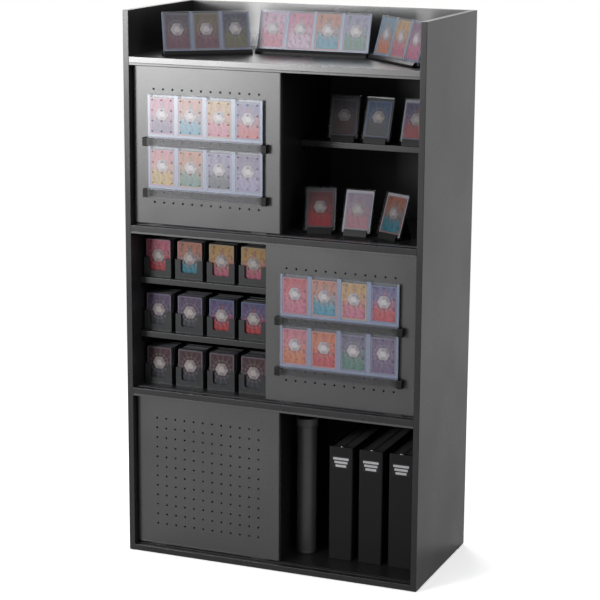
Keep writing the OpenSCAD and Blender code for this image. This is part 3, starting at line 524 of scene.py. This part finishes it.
def verts_in(geometry):
    """The vertices in what a bmesh operator returns."""
    return [v for v in geometry if isinstance(v, bmesh.types.BMVert)]


def soften_edges(bm, edges, radius, segments=2):
    """Rounds edges with an arc of short facets."""
    bmesh.ops.bevel(bm, geom=edges, offset=radius, offset_type="OFFSET", affect="EDGES",
                    segments=segments, profile=0.5, material=-1, clamp_overlap=True)


def plate(w, d, h, corner, edge=0.0, segments=4):
    """A plate that stands in the XZ plane, its corners rounded and its rims eased."""
    bm = block(w, d, h)
    soften_edges(bm, edges_along(bm, 1), corner, segments)
    if edge:
        rims = [e for e in bm.edges if abs(e.verts[0].co.y - e.verts[1].co.y) < 1e-7]
        soften_edges(bm, rims, edge, 2)
    return bm


def paint(faces, slot):
    """Gives faces the material in that slot of their piece."""
    for face in faces:
        face.material_index = slot


def put(target, shape, place):
    """Moves a shape and adds it to a piece's bmesh."""
    bmesh.ops.transform(shape, matrix=place, verts=shape.verts)
    carrier = bpy.data.meshes.new("carrier")
    shape.to_mesh(carrier)
    shape.free()
    target.from_mesh(carrier)
    bpy.data.meshes.remove(carrier)


SHARP_ANGLE, LARGE_FACE = math.radians(35), 0.0005


def piece(name, bm, body, slot, replaced=(), materials=None, flat_above=LARGE_FACE):
    """Makes the object, smooths all but its sharp edges and large faces, and lets it ride."""
    mesh = bpy.data.meshes.new(name)
    bm.to_mesh(mesh)
    bm.free()
    for material in materials or [FINISHES[slot]]:
        mesh.materials.append(material)
    mesh.shade_smooth()
    mesh.set_sharp_from_angle(angle=SHARP_ANGLE)
    for face in mesh.polygons:
        face.use_smooth = face.area < flat_above
    obj = bpy.data.objects.new(name, mesh)
    bpy.context.scene.collection.objects.link(obj)
    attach(obj, body)
    if replaced:
        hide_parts(*replaced)
    print(name, len(mesh.polygons), "faces")


def move(x, y, z):
    """The matrix of a shift."""
    return Matrix.Translation((x, y, z))


def turn(degrees, axis):
    """The matrix of a turn about the X, Y or Z axis."""
    return Matrix.Rotation(math.radians(degrees), 4, axis)


print("shape helpers ready")

# %% [markdown]
# ## Cards
#
# A card is a plate 63 by 88 mm. Its UV map is laid flat from the front, and two colour
# attributes hold the colours of its face. The palette has a few named inks, and each card
# takes two of them. A painted shade factor travels with the upper colour, as its alpha: 1 leaves
# the print as it is, and lower values darken it towards black as painted shade.

# %% One card
CARD_W, CARD_H, CARD_T, CARD_CORNER = 0.063, 0.088, 0.0012, 0.003
INKS = {
    "red": tone(120, 34, 40), "rose": tone(124, 62, 80), "orange": tone(128, 70, 42),
    "gold": tone(118, 96, 42), "teal": tone(28, 88, 104), "blue": tone(18, 52, 88),
    "navy": tone(14, 20, 50), "violet": tone(64, 50, 74), "lilac": tone(92, 84, 108),
    "green": tone(46, 76, 66), "wine": tone(48, 18, 24), "slate": tone(36, 38, 46),
    "plum": tone(70, 34, 48), "olive": tone(66, 60, 38), "pearl": tone(128, 108, 122),
}


def card_layers(bm):
    """Adds the cards' UV map and the colours of the upper and the lower part to a bmesh."""
    flat = bm.loops.layers.uv.new("card_map")
    return flat, *[bm.verts.layers.float_color.new(name) for name in ("card_top", "card_low")]


def card(above, below, shade_factor=1.0):
    """A card standing in the XZ plane, its lower left corner at the origin."""
    bm = plate(CARD_W, CARD_T, CARD_H, CARD_CORNER)
    flat, top, low = card_layers(bm)
    for vert in bm.verts:
        vert[top], vert[low] = (*INKS[above][:3], shade_factor), INKS[below]
    for face in bm.faces:
        for loop in face.loops:
            loop[flat].uv = (loop.vert.co.x / CARD_W, loop.vert.co.z / CARD_H)
    return bm


def new_cards():
    """An empty bmesh that keeps the cards' map and colours."""
    bm = bmesh.new()
    card_layers(bm)
    return bm


print(len(INKS), "inks")

# %% [markdown]
# ## Pocket strips
#
# A strip is two clear sheets with a comb of ribs between them, so that each card drops in from
# above. The CAD strip is one solid with slots. Here the sheets and the comb are separate: the
# sheets are clear with lit edges, and the ribs and the foot are welded, so they look frosted.
# The comb starts as a flat face that is cut at the sides of the pockets, whose faces are taken
# out before the rest gets its thickness.
#
# On the doors, the front sheet has a hole in front of each perforation. A grid of half the
# holes' pitch has a vertex in the middle of every hole. A vertex bevel opens each of them as a
# small diamond, and its sides, once divided, are pushed out to a circle. The part below the
# lowest holes is extruded from the grid's edge.

# %% Pocket strip
STRIP_T, STRIP_SHEET, STRIP_FOOT, STRIP_CORNER = 0.005, 0.0014, 0.010, 0.002
POCKET_W = 0.0638
HOLE_PITCH, HOLE_FOOT, SHEET_HOLE_R = 0.025, 0.0175, 0.0022
SHEET_RIM, RIB_DROP, RIB_PLAY = 0.0003, 0.0005, 0.0001
EDGE_SLOT, RIB_SLOT, BACK_SLOT = 1, 2, 3


def mark_rims(bm):
    """The faces round a plate's rim take the material of a cut edge, pale with a painted glow."""
    paint([f for f in bm.faces if abs(f.normal.y) < 0.9], EDGE_SLOT)


def drilled_sheet(width, height):
    """A sheet with a hole in front of each perforation of the door behind it."""
    half = HOLE_PITCH / 2
    bm = bmesh.new()
    drilled = height - (HOLE_FOOT - half)
    cells = (round(width / half), round(drilled / half))
    bmesh.ops.create_grid(bm, x_segments=cells[0], y_segments=cells[1], size=0.5,
                          matrix=Matrix.Diagonal((width, drilled, 1, 1)) @ move(0.5, 0.5, 0))
    centres = [v for v in bm.verts if all(round(c / half) % 2 for c in v.co.xy)]
    bmesh.ops.bevel(bm, geom=centres, offset=SHEET_HOLE_R, offset_type="OFFSET", affect="VERTICES",
                    segments=1, profile=0.5, material=-1)
    spots = [f for f in bm.faces if f.calc_area() < 3 * SHEET_HOLE_R ** 2]
    rims = [e for f in spots for e in f.edges]
    bmesh.ops.delete(bm, geom=spots, context="FACES_ONLY")
    cut = bmesh.ops.subdivide_edges(bm, edges=rims, cuts=2)
    for vert in verts_in(cut["geom_inner"]):
        middle = Vector([(2 * round((c / half - 1) / 2) + 1) * half for c in vert.co.xy] + [0])
        vert.co = middle + (vert.co - middle).normalized() * SHEET_HOLE_R
    foot = [e for e in bm.edges if e.is_boundary and max(v.co.y for v in e.verts) < 1e-6]
    lowered = bmesh.ops.extrude_edge_only(bm, edges=foot)["geom"]
    bmesh.ops.translate(bm, verts=verts_in(lowered), vec=(0, half - HOLE_FOOT, 0))
    bmesh.ops.translate(bm, verts=bm.verts, vec=(0, HOLE_FOOT - half, 0))
    bmesh.ops.rotate(bm, verts=bm.verts, matrix=Matrix.Rotation(math.pi / 2, 3, "X"))
    bmesh.ops.recalc_face_normals(bm, faces=bm.faces)
    bmesh.ops.solidify(bm, geom=bm.faces[:], thickness=STRIP_SHEET)
    bmesh.ops.recalc_face_normals(bm, faces=bm.faces)
    low = min(v.co.y for v in bm.verts)
    bmesh.ops.translate(bm, verts=bm.verts, vec=(0, -low, 0))
    return bm


def comb(count, pitch, height, thickness):
    """Foot and ribs of a strip: a cut face without its pockets, made solid."""
    bm = bmesh.new()
    bmesh.ops.create_grid(bm, x_segments=1, y_segments=1, size=0.5,
                          matrix=Matrix.Diagonal((count * pitch, height, 1, 1)) @ move(0.5, 0.5, 0))
    sides = [(i + 0.5) * pitch + s * POCKET_W / 2 for i in range(count) for s in (-1, 1)]
    planes = [((x, 0, 0), (1, 0, 0)) for x in sides] + [((0, STRIP_FOOT, 0), (0, 1, 0))]
    for point, across in planes:
        bmesh.ops.bisect_plane(bm, geom=bm.verts[:] + bm.edges[:] + bm.faces[:],
                               plane_co=point, plane_no=across)
    empty = [f for f in bm.faces if f.calc_center_median().y > STRIP_FOOT
             and abs((f.calc_center_median().x / pitch) % 1 - 0.5) < POCKET_W / 2 / pitch]
    bmesh.ops.delete(bm, geom=empty, context="FACES")
    bmesh.ops.rotate(bm, verts=bm.verts, matrix=Matrix.Rotation(math.pi / 2, 3, "X"))
    raised = bmesh.ops.extrude_face_region(bm, geom=bm.faces[:])["geom"]
    bmesh.ops.translate(bm, verts=verts_in(raised), vec=(0, thickness, 0))
    bmesh.ops.recalc_face_normals(bm, faces=bm.faces)
    paint(bm.faces, RIB_SLOT)
    return bm


def strip(target, count, pitch, height, place, drilled=False):
    """Adds one strip of pockets to a piece."""
    back = plate(count * pitch, STRIP_SHEET, height, STRIP_CORNER, SHEET_RIM)
    front = drilled_sheet(count * pitch, height) if drilled else back.copy()
    paint(back.faces, BACK_SLOT)
    for sheet, y in ((front, 0), (back, STRIP_T - STRIP_SHEET)):
        mark_rims(sheet)
        put(target, sheet, place @ move(0, y, 0))
    ribs = comb(count, pitch, height - RIB_DROP, STRIP_T - 2 * (STRIP_SHEET + RIB_PLAY))
    put(target, ribs, place @ move(0, STRIP_SHEET + RIB_PLAY, 0))


def strip_cards(target, colours, pitch, place):
    """Stands one card in each pocket of a strip."""
    for i, (above, below) in enumerate(colours):
        at = move((i + 0.5) * pitch - CARD_W / 2, (STRIP_T - CARD_T) / 2, STRIP_FOOT)
        put(target, card(above, below), place @ at)


CLEAR = [FINISHES["clear_plastic"], acrylic_edge_and_glow, acrylic_rib, inner_sheet]
print("strips ready")

# %% [markdown]
# ### On the doors
#
# Each of the two upper doors carries two strips. A strip stands in a clear rail whose pegs
# enter the perforations, so its place follows from the door's own corner.

# %% Strips and cards on the doors
DOOR_PITCH, DOOR_STRIP_H = 0.075, 0.105
RAIL_INSET, RAIL_FRONT, STRIP_IN_RAIL = 0.0425, 0.016, 0.006
STRIP_RISES = (0.08775, 0.21275)
DOOR_CARDS = {
    "upper_door": [
        [("rose", "gold"), ("orange", "green"), ("lilac", "slate"), ("violet", "lilac")],
        [("rose", "violet"), ("orange", "teal"), ("gold", "rose"), ("blue", "red")]],
    "middle_door": [
        [("rose", "orange"), ("orange", "red"), ("violet", "green"), ("violet", "violet")],
        [("red", "rose"), ("orange", "teal"), ("gold", "rose"), ("blue", "red")]],
}
for door, rows in DOOR_CARDS.items():
    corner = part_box(door + "_panel")[0]
    pockets, cards = bmesh.new(), new_cards()
    for rise, row in zip(STRIP_RISES, rows):
        place = move(corner.x + RAIL_INSET, corner.y - RAIL_FRONT + STRIP_IN_RAIL, corner.z + rise)
        strip(pockets, len(row), DOOR_PITCH, DOOR_STRIP_H, place, drilled=True)
        strip_cards(cards, row, DOOR_PITCH, place)
    piece(door + "_strips", pockets, door, "clear_plastic", [door + "_pockets"], CLEAR)
    piece(door + "_card_faces", cards, door, "card", [door + "_cards"])

# %% [markdown]
# ### On the tray
#
# Three stands form a shallow arc: the outer two are turned towards the middle. Each strip
# leans back in the slot of its foot. The feet are CAD nodes and stay.

# %% Stands on the tray
STAND_PITCH, STAND_STRIP_H, STAND_LEAN, STAND_SLOT = 0.07203, 0.102, -15, 0.005
tray_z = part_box("top_panel")[1].z
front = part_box("left_side_panel")[0].y
STANDS = {
    "left": ((-0.20764, 0.107), 38, [("slate", "plum"), ("olive", "plum"), ("navy", "olive")]),
    "centre": ((0.02196, 0.203), 0, [("pearl", "rose"), ("rose", "pearl"), ("orange", "teal"),
                                     ("lilac", "green")]),
    "right": ((0.26201, 0.123), -42, [("teal", "orange"), ("gold", "rose"), ("violet", "rose")]),
}
cards = new_cards()
for side, ((x, back), angle, row) in STANDS.items():
    foot = move(x, front + back, tray_z) @ turn(angle, "Z")
    place = foot @ move(-len(row) * STAND_PITCH / 2, 0, STAND_SLOT) @ turn(STAND_LEAN, "X")
    pockets = bmesh.new()
    strip(pockets, len(row), STAND_PITCH, STAND_STRIP_H, place)
    strip_cards(cards, row, STAND_PITCH, place)
    stand = side + "_stand"
    piece(stand + "_strip", pockets, "cabinet", "clear_plastic", [stand + "_pockets"], CLEAR)
piece("stand_card_faces", cards, "cabinet", "card", ["stand_cards"])

# %% [markdown]
# ## Slabs
#
# A slab is a rigid clear case for one valuable card. Its body has a raised rim and rounded
# corners, and a thin insert behind the card, dark or pale, shows round it as a frame. The case
# here is a plate with its front and back faces inset and pushed in to leave the rim.

# %% Slabs on their easels
# Painted shade: the slab cards stand in the dark upper compartment, so their print is darkened to
# half.
SLAB_SHADE_FACTOR = 0.5
SLAB_W, SLAB_H, SLAB_T, SLAB_CORNER = 0.076, 0.108, 0.008, 0.003
SLAB_LEAN, SLAB_SEAT, SLAB_EDGE = -18, 0.006, 0.0006
RIM_W, RIM_DEPTH = 0.003, 0.0008
INSERT_T, INSERT_INSET, INSERT_Y, SLAB_CARD_Y = 0.0012, 0.0035, 0.0042, 0.0028
wall_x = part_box("right_side_panel")[0].x
shelf_low, shelf_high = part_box("card_shelf")
upper_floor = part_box("upper_middle_panel")[1].z
divider_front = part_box("upper_divider")[0].y
shelf_row = shelf_low.y + 0.010
SLABS = [
    (0.255, shelf_row, shelf_high.z, 8, ("slate", "wine"), "dark"),
    (0.172, shelf_row, shelf_high.z, -4, ("blue", "slate"), "dark"),
    (0.075, shelf_row, shelf_high.z, -3, ("blue", "red"), "pale"),
    (0.275, divider_front + 0.043, upper_floor, 16, ("wine", "red"), "dark"),
    (0.185, divider_front + 0.045, upper_floor, 0, ("lilac", "rose"), "pale"),
    (0.101, divider_front + 0.038, upper_floor, -26, ("orange", "teal"), "pale"),
]


def slab_case():
    """The clear body with a raised rim."""
    bm = plate(SLAB_W, SLAB_T, SLAB_H, SLAB_CORNER, SLAB_EDGE)
    mark_rims(bm)
    faces = [f for f in bm.faces if abs(f.normal.y) > 0.99 and f.calc_area() > 0.001]
    bmesh.ops.inset_individual(bm, faces=faces, thickness=RIM_W, depth=-RIM_DEPTH)
    return bm


def slab_insert():
    """The sheet behind the card, with an inset border."""
    bm = plate(SLAB_W - 2 * RIM_W, INSERT_T, SLAB_H - 2 * RIM_W, SLAB_CORNER)
    faces = [f for f in bm.faces if abs(f.normal.y) > 0.99]
    bmesh.ops.inset_individual(bm, faces=faces, thickness=INSERT_INSET)
    return bm


def plain_finish(name, dark, light, roughness):
    """A plain material that no CAD node uses."""
    tree, shader, place = finish(name, roughness=roughness, specular_ior_level=0.15)
    surface(tree, shader, colour=blend(tree, noise(tree, place, 160, 3), dark, light))
    return FINISHES.pop(name)


pale_frame = plain_finish("pale_frame", tone(88, 87, 93), tone(104, 103, 109), 0.5)
dark_frame = plain_finish("dark_frame", tone(26, 27, 28), tone(36, 37, 38), 0.35)
cases, frames, cards = bmesh.new(), bmesh.new(), new_cards()
for from_wall, y, z, angle, colours, shade in SLABS:
    seat = move(wall_x - from_wall, y, z) @ turn(angle, "Z") @ move(0, 0, SLAB_SEAT)
    middle = seat @ turn(SLAB_LEAN, "X")
    put(cases, slab_case(), middle @ move(-SLAB_W / 2, 0, 0))
    insert = slab_insert()
    paint(insert.faces, int(shade == "dark"))
    put(frames, insert, middle @ move(-SLAB_W / 2 + RIM_W, INSERT_Y, RIM_W))
    at = move(-CARD_W / 2, SLAB_CARD_Y, (SLAB_H - CARD_H) / 2)
    put(cards, card(*colours, SLAB_SHADE_FACTOR), middle @ at)
piece("slab_cases", cases, "cabinet", "clear_plastic", ["card_slabs"], [case_wall, case_edge_and_glow])
piece("slab_frames", frames, "cabinet", "card", materials=[pale_frame, dark_frame])
piece("slab_card_faces", cards, "cabinet", "card", ["slab_cards"])

# %% [markdown]
# ## Decks
#
# Twelve open trays hold decks of sleeved cards. The trays are CAD nodes. A deck is a front
# card and a pack of thin slices behind it, each a little higher or lower than the next, as
# cards in a real box are.

# %% Decks in their trays
random.seed(7)
DECK_W, DECK_H, DECK_FRONT, DECK_DEPTH = 0.066, 0.091, 0.0055, 0.0545
SLICES, SLICE_PLAY, SLICE_CORNER = 13, 0.0012, 0.002
# Painted shade: the deck faces stand on shelves inside the dark compartment, so their print is
# darkened to 0.72.
DECK_SHADE_FACTOR = 0.72
TRAY_PITCH, TRAY_FIRST, TRAY_W, TRAY_WALL = 0.08552, 0.00512, 0.074, 0.002
tray_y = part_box("deck_trays")[0].y
left_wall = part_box("left_side_panel")[1].x
deck_floors = [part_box(board)[1].z
               for board in ("lower_middle_panel", "low_deck_shelf", "high_deck_shelf")]
DECKS = [
    [("wine", "slate")] * 4,
    [("violet", "slate"), ("violet", "slate"), ("blue", "red"), ("blue", "red")],
    [("rose", "red"), ("orange", "teal"), ("gold", "rose"), ("gold", "rose")],
]
stacks, cards = bmesh.new(), new_cards()
thick = (DECK_DEPTH - CARD_T) / SLICES
widened = Matrix.Diagonal((DECK_W / CARD_W, 1, DECK_H / CARD_H, 1))
for floor_z, row in zip(deck_floors, DECKS):
    for k, colours in enumerate(row):
        x = left_wall + TRAY_FIRST + k * TRAY_PITCH + (TRAY_W - DECK_W) / 2
        corner = move(x, tray_y + DECK_FRONT, floor_z + TRAY_WALL)
        for i in range(SLICES):
            height = DECK_H - random.uniform(0, SLICE_PLAY)
            slice_of_cards = plate(DECK_W, thick, height, SLICE_CORNER, segments=2)
            put(stacks, slice_of_cards, corner @ move(0, CARD_T + i * thick, 0))
        put(cards, card(*colours, DECK_SHADE_FACTOR), corner @ widened)
piece("deck_stacks", stacks, "cabinet", "card", ["deck_blocks"], [FINISHES["card_stock"]])
piece("deck_card_faces", cards, "cabinet", "card")

# %% [markdown]
# ## Binders
#
# A zipped binder is a stiff cover wrapped round a spine. The cover starts as a block whose
# top, bottom and rear faces are taken off. Solidify gives the rest its thickness and a bevel
# rounds the rims.

# %% Binder covers
BINDER_W, BINDER_COVER, BINDER_R, COVER_RIM = 0.063, 0.0025, 0.004, 0.0009
BINDER_GAP, BINDER_STEP = 0.031, 0.078
covers_low, covers_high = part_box("binder_covers")
BINDER_D, BINDER_H = covers_high.y - covers_low.y, covers_high.z - covers_low.z
BINDER_XS = [wall_x - BINDER_GAP - BINDER_W - k * BINDER_STEP for k in range(3)]


def cover_wrap():
    """A spine and two covers, open at the top, the bottom and the rear."""
    bm = block(BINDER_W, BINDER_D, BINDER_H)
    away = [f for f in bm.faces if abs(f.normal.z) > 0.9 or f.normal.y > 0.9]
    bmesh.ops.delete(bm, geom=away, context="FACES")
    fronts = [e for e in edges_along(bm, 2) if e.calc_length() > 0.1 and e.verts[0].co.y < 0.001]
    soften_edges(bm, fronts, BINDER_R, 5)
    bmesh.ops.recalc_face_normals(bm, faces=bm.faces)
    if sum(f.normal.y for f in bm.faces if f.calc_center_median().y < 0.0005) > 0:
        bmesh.ops.reverse_faces(bm, faces=bm.faces)
    bmesh.ops.solidify(bm, geom=bm.faces[:], thickness=BINDER_COVER)
    rims = [e for e in bm.edges if e.calc_face_angle(0) > math.radians(60)]
    soften_edges(bm, rims, COVER_RIM, 3)
    return bm


covers = bmesh.new()
for x in BINDER_XS:
    put(covers, cover_wrap(), move(x, covers_low.y, covers_low.z))
piece("binder_wraps", covers, "cabinet", "binder_cover", ["binder_covers"])

# %% [markdown]
# Between the covers runs the zip: a tape set back from the rims, with a chain of teeth along
# its middle.

# %% Zip tape and chain
ZIP_INSET, TAPE_CORNER, TAPE_RIM = 0.004, 0.003, 0.002
TOOTH_W, TOOTH, TOOTH_STEP, TOOTH_EDGE = 0.005, 0.0016, 0.0026, 0.0004
CHAIN_FRONT, CHAIN_FOOT, CHAIN_END = 0.012, 0.004, 0.003
zip_front, zip_rear = covers_low.y + BINDER_COVER, covers_high.y - ZIP_INSET
zip_foot, zip_top = covers_low.z + ZIP_INSET, covers_high.z - ZIP_INSET


def zip_tape():
    """The woven block between the covers."""
    bm = block(BINDER_W - 2 * BINDER_COVER, zip_rear - zip_front, zip_top - zip_foot)
    soften_edges(bm, edges_along(bm, 2), TAPE_CORNER, 3)
    ends = [e for e in bm.edges if abs(e.verts[0].co.z - e.verts[1].co.z) < 1e-7]
    soften_edges(bm, ends, TAPE_RIM, 2)
    return bm


def tooth():
    """One tooth, across the tape and centred on the origin."""
    bm = block(TOOTH_W, TOOTH, TOOTH)
    soften_edges(bm, edges_along(bm, 0), TOOTH_EDGE, 1)
    bmesh.ops.translate(bm, verts=bm.verts, vec=(-TOOTH_W / 2, -TOOTH / 2, -TOOTH / 2))
    return bm


tapes, chain = bmesh.new(), bmesh.new()
for x in BINDER_XS:
    put(tapes, zip_tape(), move(x + BINDER_COVER, zip_front, zip_foot))
    y, z = zip_front + CHAIN_FRONT, zip_foot + CHAIN_FOOT
    while y < zip_rear - CHAIN_END:
        put(chain, tooth(), move(x + BINDER_W / 2, y, zip_top))
        y += TOOTH_STEP
    while z < zip_top - CHAIN_END:
        put(chain, tooth(), move(x + BINDER_W / 2, zip_rear, z))
        z += TOOTH_STEP
piece("zip_tapes", tapes, "cabinet", "binder_fabric", ["binder_zips"])
piece("zip_chains", chain, "cabinet", "black_plastic")

# %% [markdown]
# The slider sits at the top of the spine: a body with a polished, domed head. On the spine
# below it is a small label without words: a dark ground with three plain pale bars.

# %% Sliders and labels
SLIDER_W, SLIDER_D, SLIDER_H, SLIDER_EDGE = 0.008, 0.006, 0.0036, 0.0009
STUD_R, STUD_RISE = 0.0055, 0.0034


def slider():
    """The slider's body."""
    bm = block(SLIDER_W, SLIDER_D, SLIDER_H)
    soften_edges(bm, bm.edges[:], SLIDER_EDGE, 3)
    return bm


def stud():
    """The domed head on the slider: a ball pressed flat."""
    bm = bmesh.new()
    bmesh.ops.create_uvsphere(bm, u_segments=24, v_segments=16, radius=STUD_R)
    bmesh.ops.transform(bm, verts=bm.verts, matrix=Matrix.Diagonal((1, 0.75, 0.5, 1)))
    return bm


tree, shader, place = finish("polished", metallic=1.0)
scuffs = noise(tree, place, 900, 3)
surface(tree, shader, colour=blend(tree, scuffs, tone(206, 206, 208), tone(236, 236, 238)),
        roughness=spread(tree, scuffs, 0.08, 0.2))
sliders = bmesh.new()
for x in BINDER_XS:
    middle = x + BINDER_W / 2
    put(sliders, slider(), move(middle - SLIDER_W / 2, zip_front, zip_top))
    put(sliders, stud(), move(middle, zip_front + SLIDER_D / 2, zip_top + STUD_RISE))
piece("zip_sliders", sliders, "cabinet", "steel", ["zip_pulls"], [FINISHES.pop("polished")])

# Both the label and its bars are thin plates. PROUD is how far each stands out from the spine.
LABEL_W, LABEL_H, LABEL_T, LABEL_R, LABEL_PROUD = 0.046, 0.032, 0.0004, 0.002, 0.0003
BAR_H, BAR_T, BAR_R, BAR_PROUD = 0.006, 0.0003, 0.0008, 0.0005
LABEL_TOP, BAR_INDENT, FIRST_BAR, BAR_STEP = 0.285, 0.003, 0.010, 0.009
label_ground = plain_finish("label_ground", tone(7, 7, 7), tone(12, 12, 12), 0.6)
label_rule = plain_finish("label_rule", tone(124, 124, 126), tone(150, 150, 152), 0.5)
labels = bmesh.new()
for x in BINDER_XS:
    left = x + (BINDER_W - LABEL_W) / 2
    at = move(left, covers_low.y - LABEL_PROUD, LABEL_TOP - LABEL_H)
    put(labels, plate(LABEL_W, LABEL_T, LABEL_H, LABEL_R), at)
    for k in range(3):
        indent = BAR_INDENT * (k + 1)
        bar = plate(LABEL_W - 2 * indent, BAR_T, BAR_H, BAR_R)
        paint(bar.faces, 1)
        at = move(left + indent, covers_low.y - BAR_PROUD, LABEL_TOP - FIRST_BAR - BAR_STEP * k)
        put(labels, bar, at)
piece("binder_labels", labels, "cabinet", "binder_cover", materials=[label_ground, label_rule])

# %% [markdown]
# ## Mat tube
#
# The tube stands beside the binders. A turned part is a profile spun round its axis: the tube
# has a groove above its foot, and the cap has a dished top, a bevelled shoulder and a ring of
# fine grip ribs. Each profile is a list of points given as their distance inside the outer
# radius and their height.

# %% Mat tube
def spun(profile, steps=64):
    """Spins a profile of (radius, height) points round the Z axis."""
    bm = bmesh.new()
    verts = [bm.verts.new((r, 0, z)) for r, z in profile]
    edges = [bm.edges.new(pair) for pair in zip(verts, verts[1:])]
    bmesh.ops.spin(bm, geom=verts + edges, cent=(0, 0, 0), axis=(0, 0, 1), angle=math.tau,
                   steps=steps, use_merge=True)
    bmesh.ops.remove_doubles(bm, verts=bm.verts, dist=1e-6)
    bmesh.ops.recalc_face_normals(bm, faces=bm.faces)
    return bm


tube_low, tube_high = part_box("mat_tube")
cap_low, cap_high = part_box("tube_cap")
centre = (tube_low + tube_high) / 2
TUBE_R, CAP_R = (tube_high.x - tube_low.x) / 2, (cap_high.x - cap_low.x) / 2
TUBE_LEN, CAP_H = tube_high.z - tube_low.z, cap_high.z - cap_low.z
TUBE_WALL, CAP_PLAY = 0.002, 0.0001
TUBE_PROFILE = [
    (TUBE_R, 0), (0.0015, 0), (0, 0.0015),
    (0, 0.006), (0.0006, 0.0066), (0.0006, 0.0084), (0, 0.009),
    (0, TUBE_LEN - 0.0005), (0.0005, TUBE_LEN), (TUBE_WALL, TUBE_LEN),
    (TUBE_WALL, TUBE_WALL), (TUBE_R, TUBE_WALL),
]
CAP_INSIDE = CAP_R - (TUBE_R + CAP_PLAY)
CAP_PROFILE = [
    (CAP_R, CAP_H - 0.0016), (0.005, CAP_H - 0.0016), (0.0042, CAP_H), (0.0022, CAP_H),
    (0.0006, CAP_H - 0.0016), (0.0006, 0.0012), (0, 0.0008), (0, 0),
    (CAP_INSIDE, 0), (CAP_INSIDE, CAP_H - 0.0022), (CAP_R, CAP_H - 0.0022),
]
tube, cap = bmesh.new(), bmesh.new()
put(tube, spun([(TUBE_R - inset, z) for inset, z in TUBE_PROFILE]),
    move(centre.x, centre.y, tube_low.z))
piece("tube_body", tube, "cabinet", "tube_plastic", ["mat_tube"], flat_above=1)

GRIPS, GRIP_W, GRIP_EDGE = 60, 0.0012, 0.0004
GRIP_INSET, GRIP_FOOT, GRIP_SHORT = 0.0014, 0.003, 0.007
put(cap, spun([(CAP_R - inset, z) for inset, z in CAP_PROFILE]),
    move(centre.x, centre.y, cap_low.z))
for k in range(GRIPS):
    rib = block(GRIP_W, GRIP_W, CAP_H - GRIP_SHORT)
    soften_edges(rib, edges_along(rib, 2), GRIP_EDGE, 1)
    at = move(centre.x, centre.y, cap_low.z + GRIP_FOOT) @ turn(360 / GRIPS * k, "Z")
    put(cap, rib, at @ move(CAP_R - GRIP_INSET, -GRIP_W / 2, 0))
piece("tube_lid", cap, "cabinet", "tube_plastic", ["tube_cap"])

# %% [markdown]
# ## Studio
#
# The floor is a pale plane, and the world is white where the camera or a mirror-like face
# looks at it. Diffuse surfaces get a lower level from the world and the rest from large soft
# lamps, so that the open compartments stay dark inside.

# %% Floor and world
FLOOR_LIFT, SWEEP_START, SWEEP_END = 0.5, 0.8, 2.4
floor_bm = bmesh.new()
bmesh.ops.create_grid(floor_bm, x_segments=1, y_segments=1, size=14)
floor_mesh = bpy.data.meshes.new("floor")
floor_bm.to_mesh(floor_mesh)
floor_bm.free()
floor = bpy.data.objects.new("floor", floor_mesh)
bpy.context.scene.collection.objects.link(floor)
made, tree, shader = new_material("floor")
shader.inputs["Roughness"].default_value = 0.9
shader.inputs["Specular IOR Level"].default_value = 0.0
place = node(tree, "TexCoord", out=3)
dusty = blend(tree, noise(tree, place, 2, 3), (0.86, 0.86, 0.86, 1), (0.9, 0.9, 0.9, 1))
tree.links.new(dusty, shader.inputs["Base Color"])
seen = node(tree, "LightPath")
shader.inputs["Emission Color"].default_value = WHITE
tree.links.new(calc(tree, "MULTIPLY", seen, FLOOR_LIFT), shader.inputs["Emission Strength"])
glow = node(tree, "Emission", {"Color": WHITE, "Strength": spread(tree, seen, 0.85, 1.0)})
# Away from the cabinet, the floor passes into even white light.
away = node(tree, "VectorMath", {0: place}, out=1, operation="LENGTH")
far = spread(tree, away, 0, 1, SWEEP_START, SWEEP_END)
show(tree, node(tree, "MixShader", {0: far, 1: shader.outputs[0], 2: glow}))
floor_mesh.materials.append(made)

AMBIENT = 0.15
world = bpy.data.worlds.new("studio")
bpy.context.scene.world = world
world.use_nodes = True
tree = world.node_tree
rays = tree.nodes.new("ShaderNodeLightPath").outputs
mirrored = calc(tree, "MAXIMUM", rays["Is Glossy Ray"], rays["Is Transmission Ray"])
white_for = calc(tree, "MAXIMUM", rays["Is Camera Ray"], mirrored)
sky = tree.nodes["Background"].inputs
tree.links.new(spread(tree, white_for, AMBIENT, 1.0), sky["Strength"])
sky["Color"].default_value = WHITE
bpy.context.scene.view_settings.view_transform = "Standard"
print("floor and world ready")

# %% [markdown]
# The left lamp stands low at the front left, and the satin doors mirror it as the bright
# gradient across the upper door. The high lamp above it is mirrored in the clear strips. The
# top lamp brightens the cards on the tray, the right lamp the right-hand side, and the back
# lamp the tray and its front edge.

# %% Lamps
def softbox(name, place, aim, width, height, watts):
    """A rectangular lamp at place that faces the point aim."""
    lamp = bpy.data.lights.new(name, "AREA")
    lamp.shape, lamp.size, lamp.size_y, lamp.energy = "RECTANGLE", width, height, watts
    obj = bpy.data.objects.new(name, lamp)
    bpy.context.scene.collection.objects.link(obj)
    facing = (Vector(aim) - Vector(place)).to_track_quat("-Z", "Y")
    obj.matrix_world = Matrix.Translation(place) @ facing.to_matrix().to_4x4()
    print(name, watts, "W")


softbox("left_lamp", (-3.08, -4.9, 1.45), (-3.08, 0, 1.45), 1.85, 1.5, 420)
softbox("top_lamp", (0.3, -1.4, 3.6), (0, 0, 0.8), 2.4, 2.0, 28)
softbox("right_lamp", (4.0, -1.2, 2.0), (0.3, 0, 0.5), 2.0, 2.4, 70)
softbox("high_lamp", (-2.04, -4.98, 2.76), (0.02, 0.03, 1.3), 1.6, 1.0, 60)
softbox("back_lamp", (-1.45, 2.1, 2.9), (0, -0.1, 1.25), 1.8, 1.0, 75)
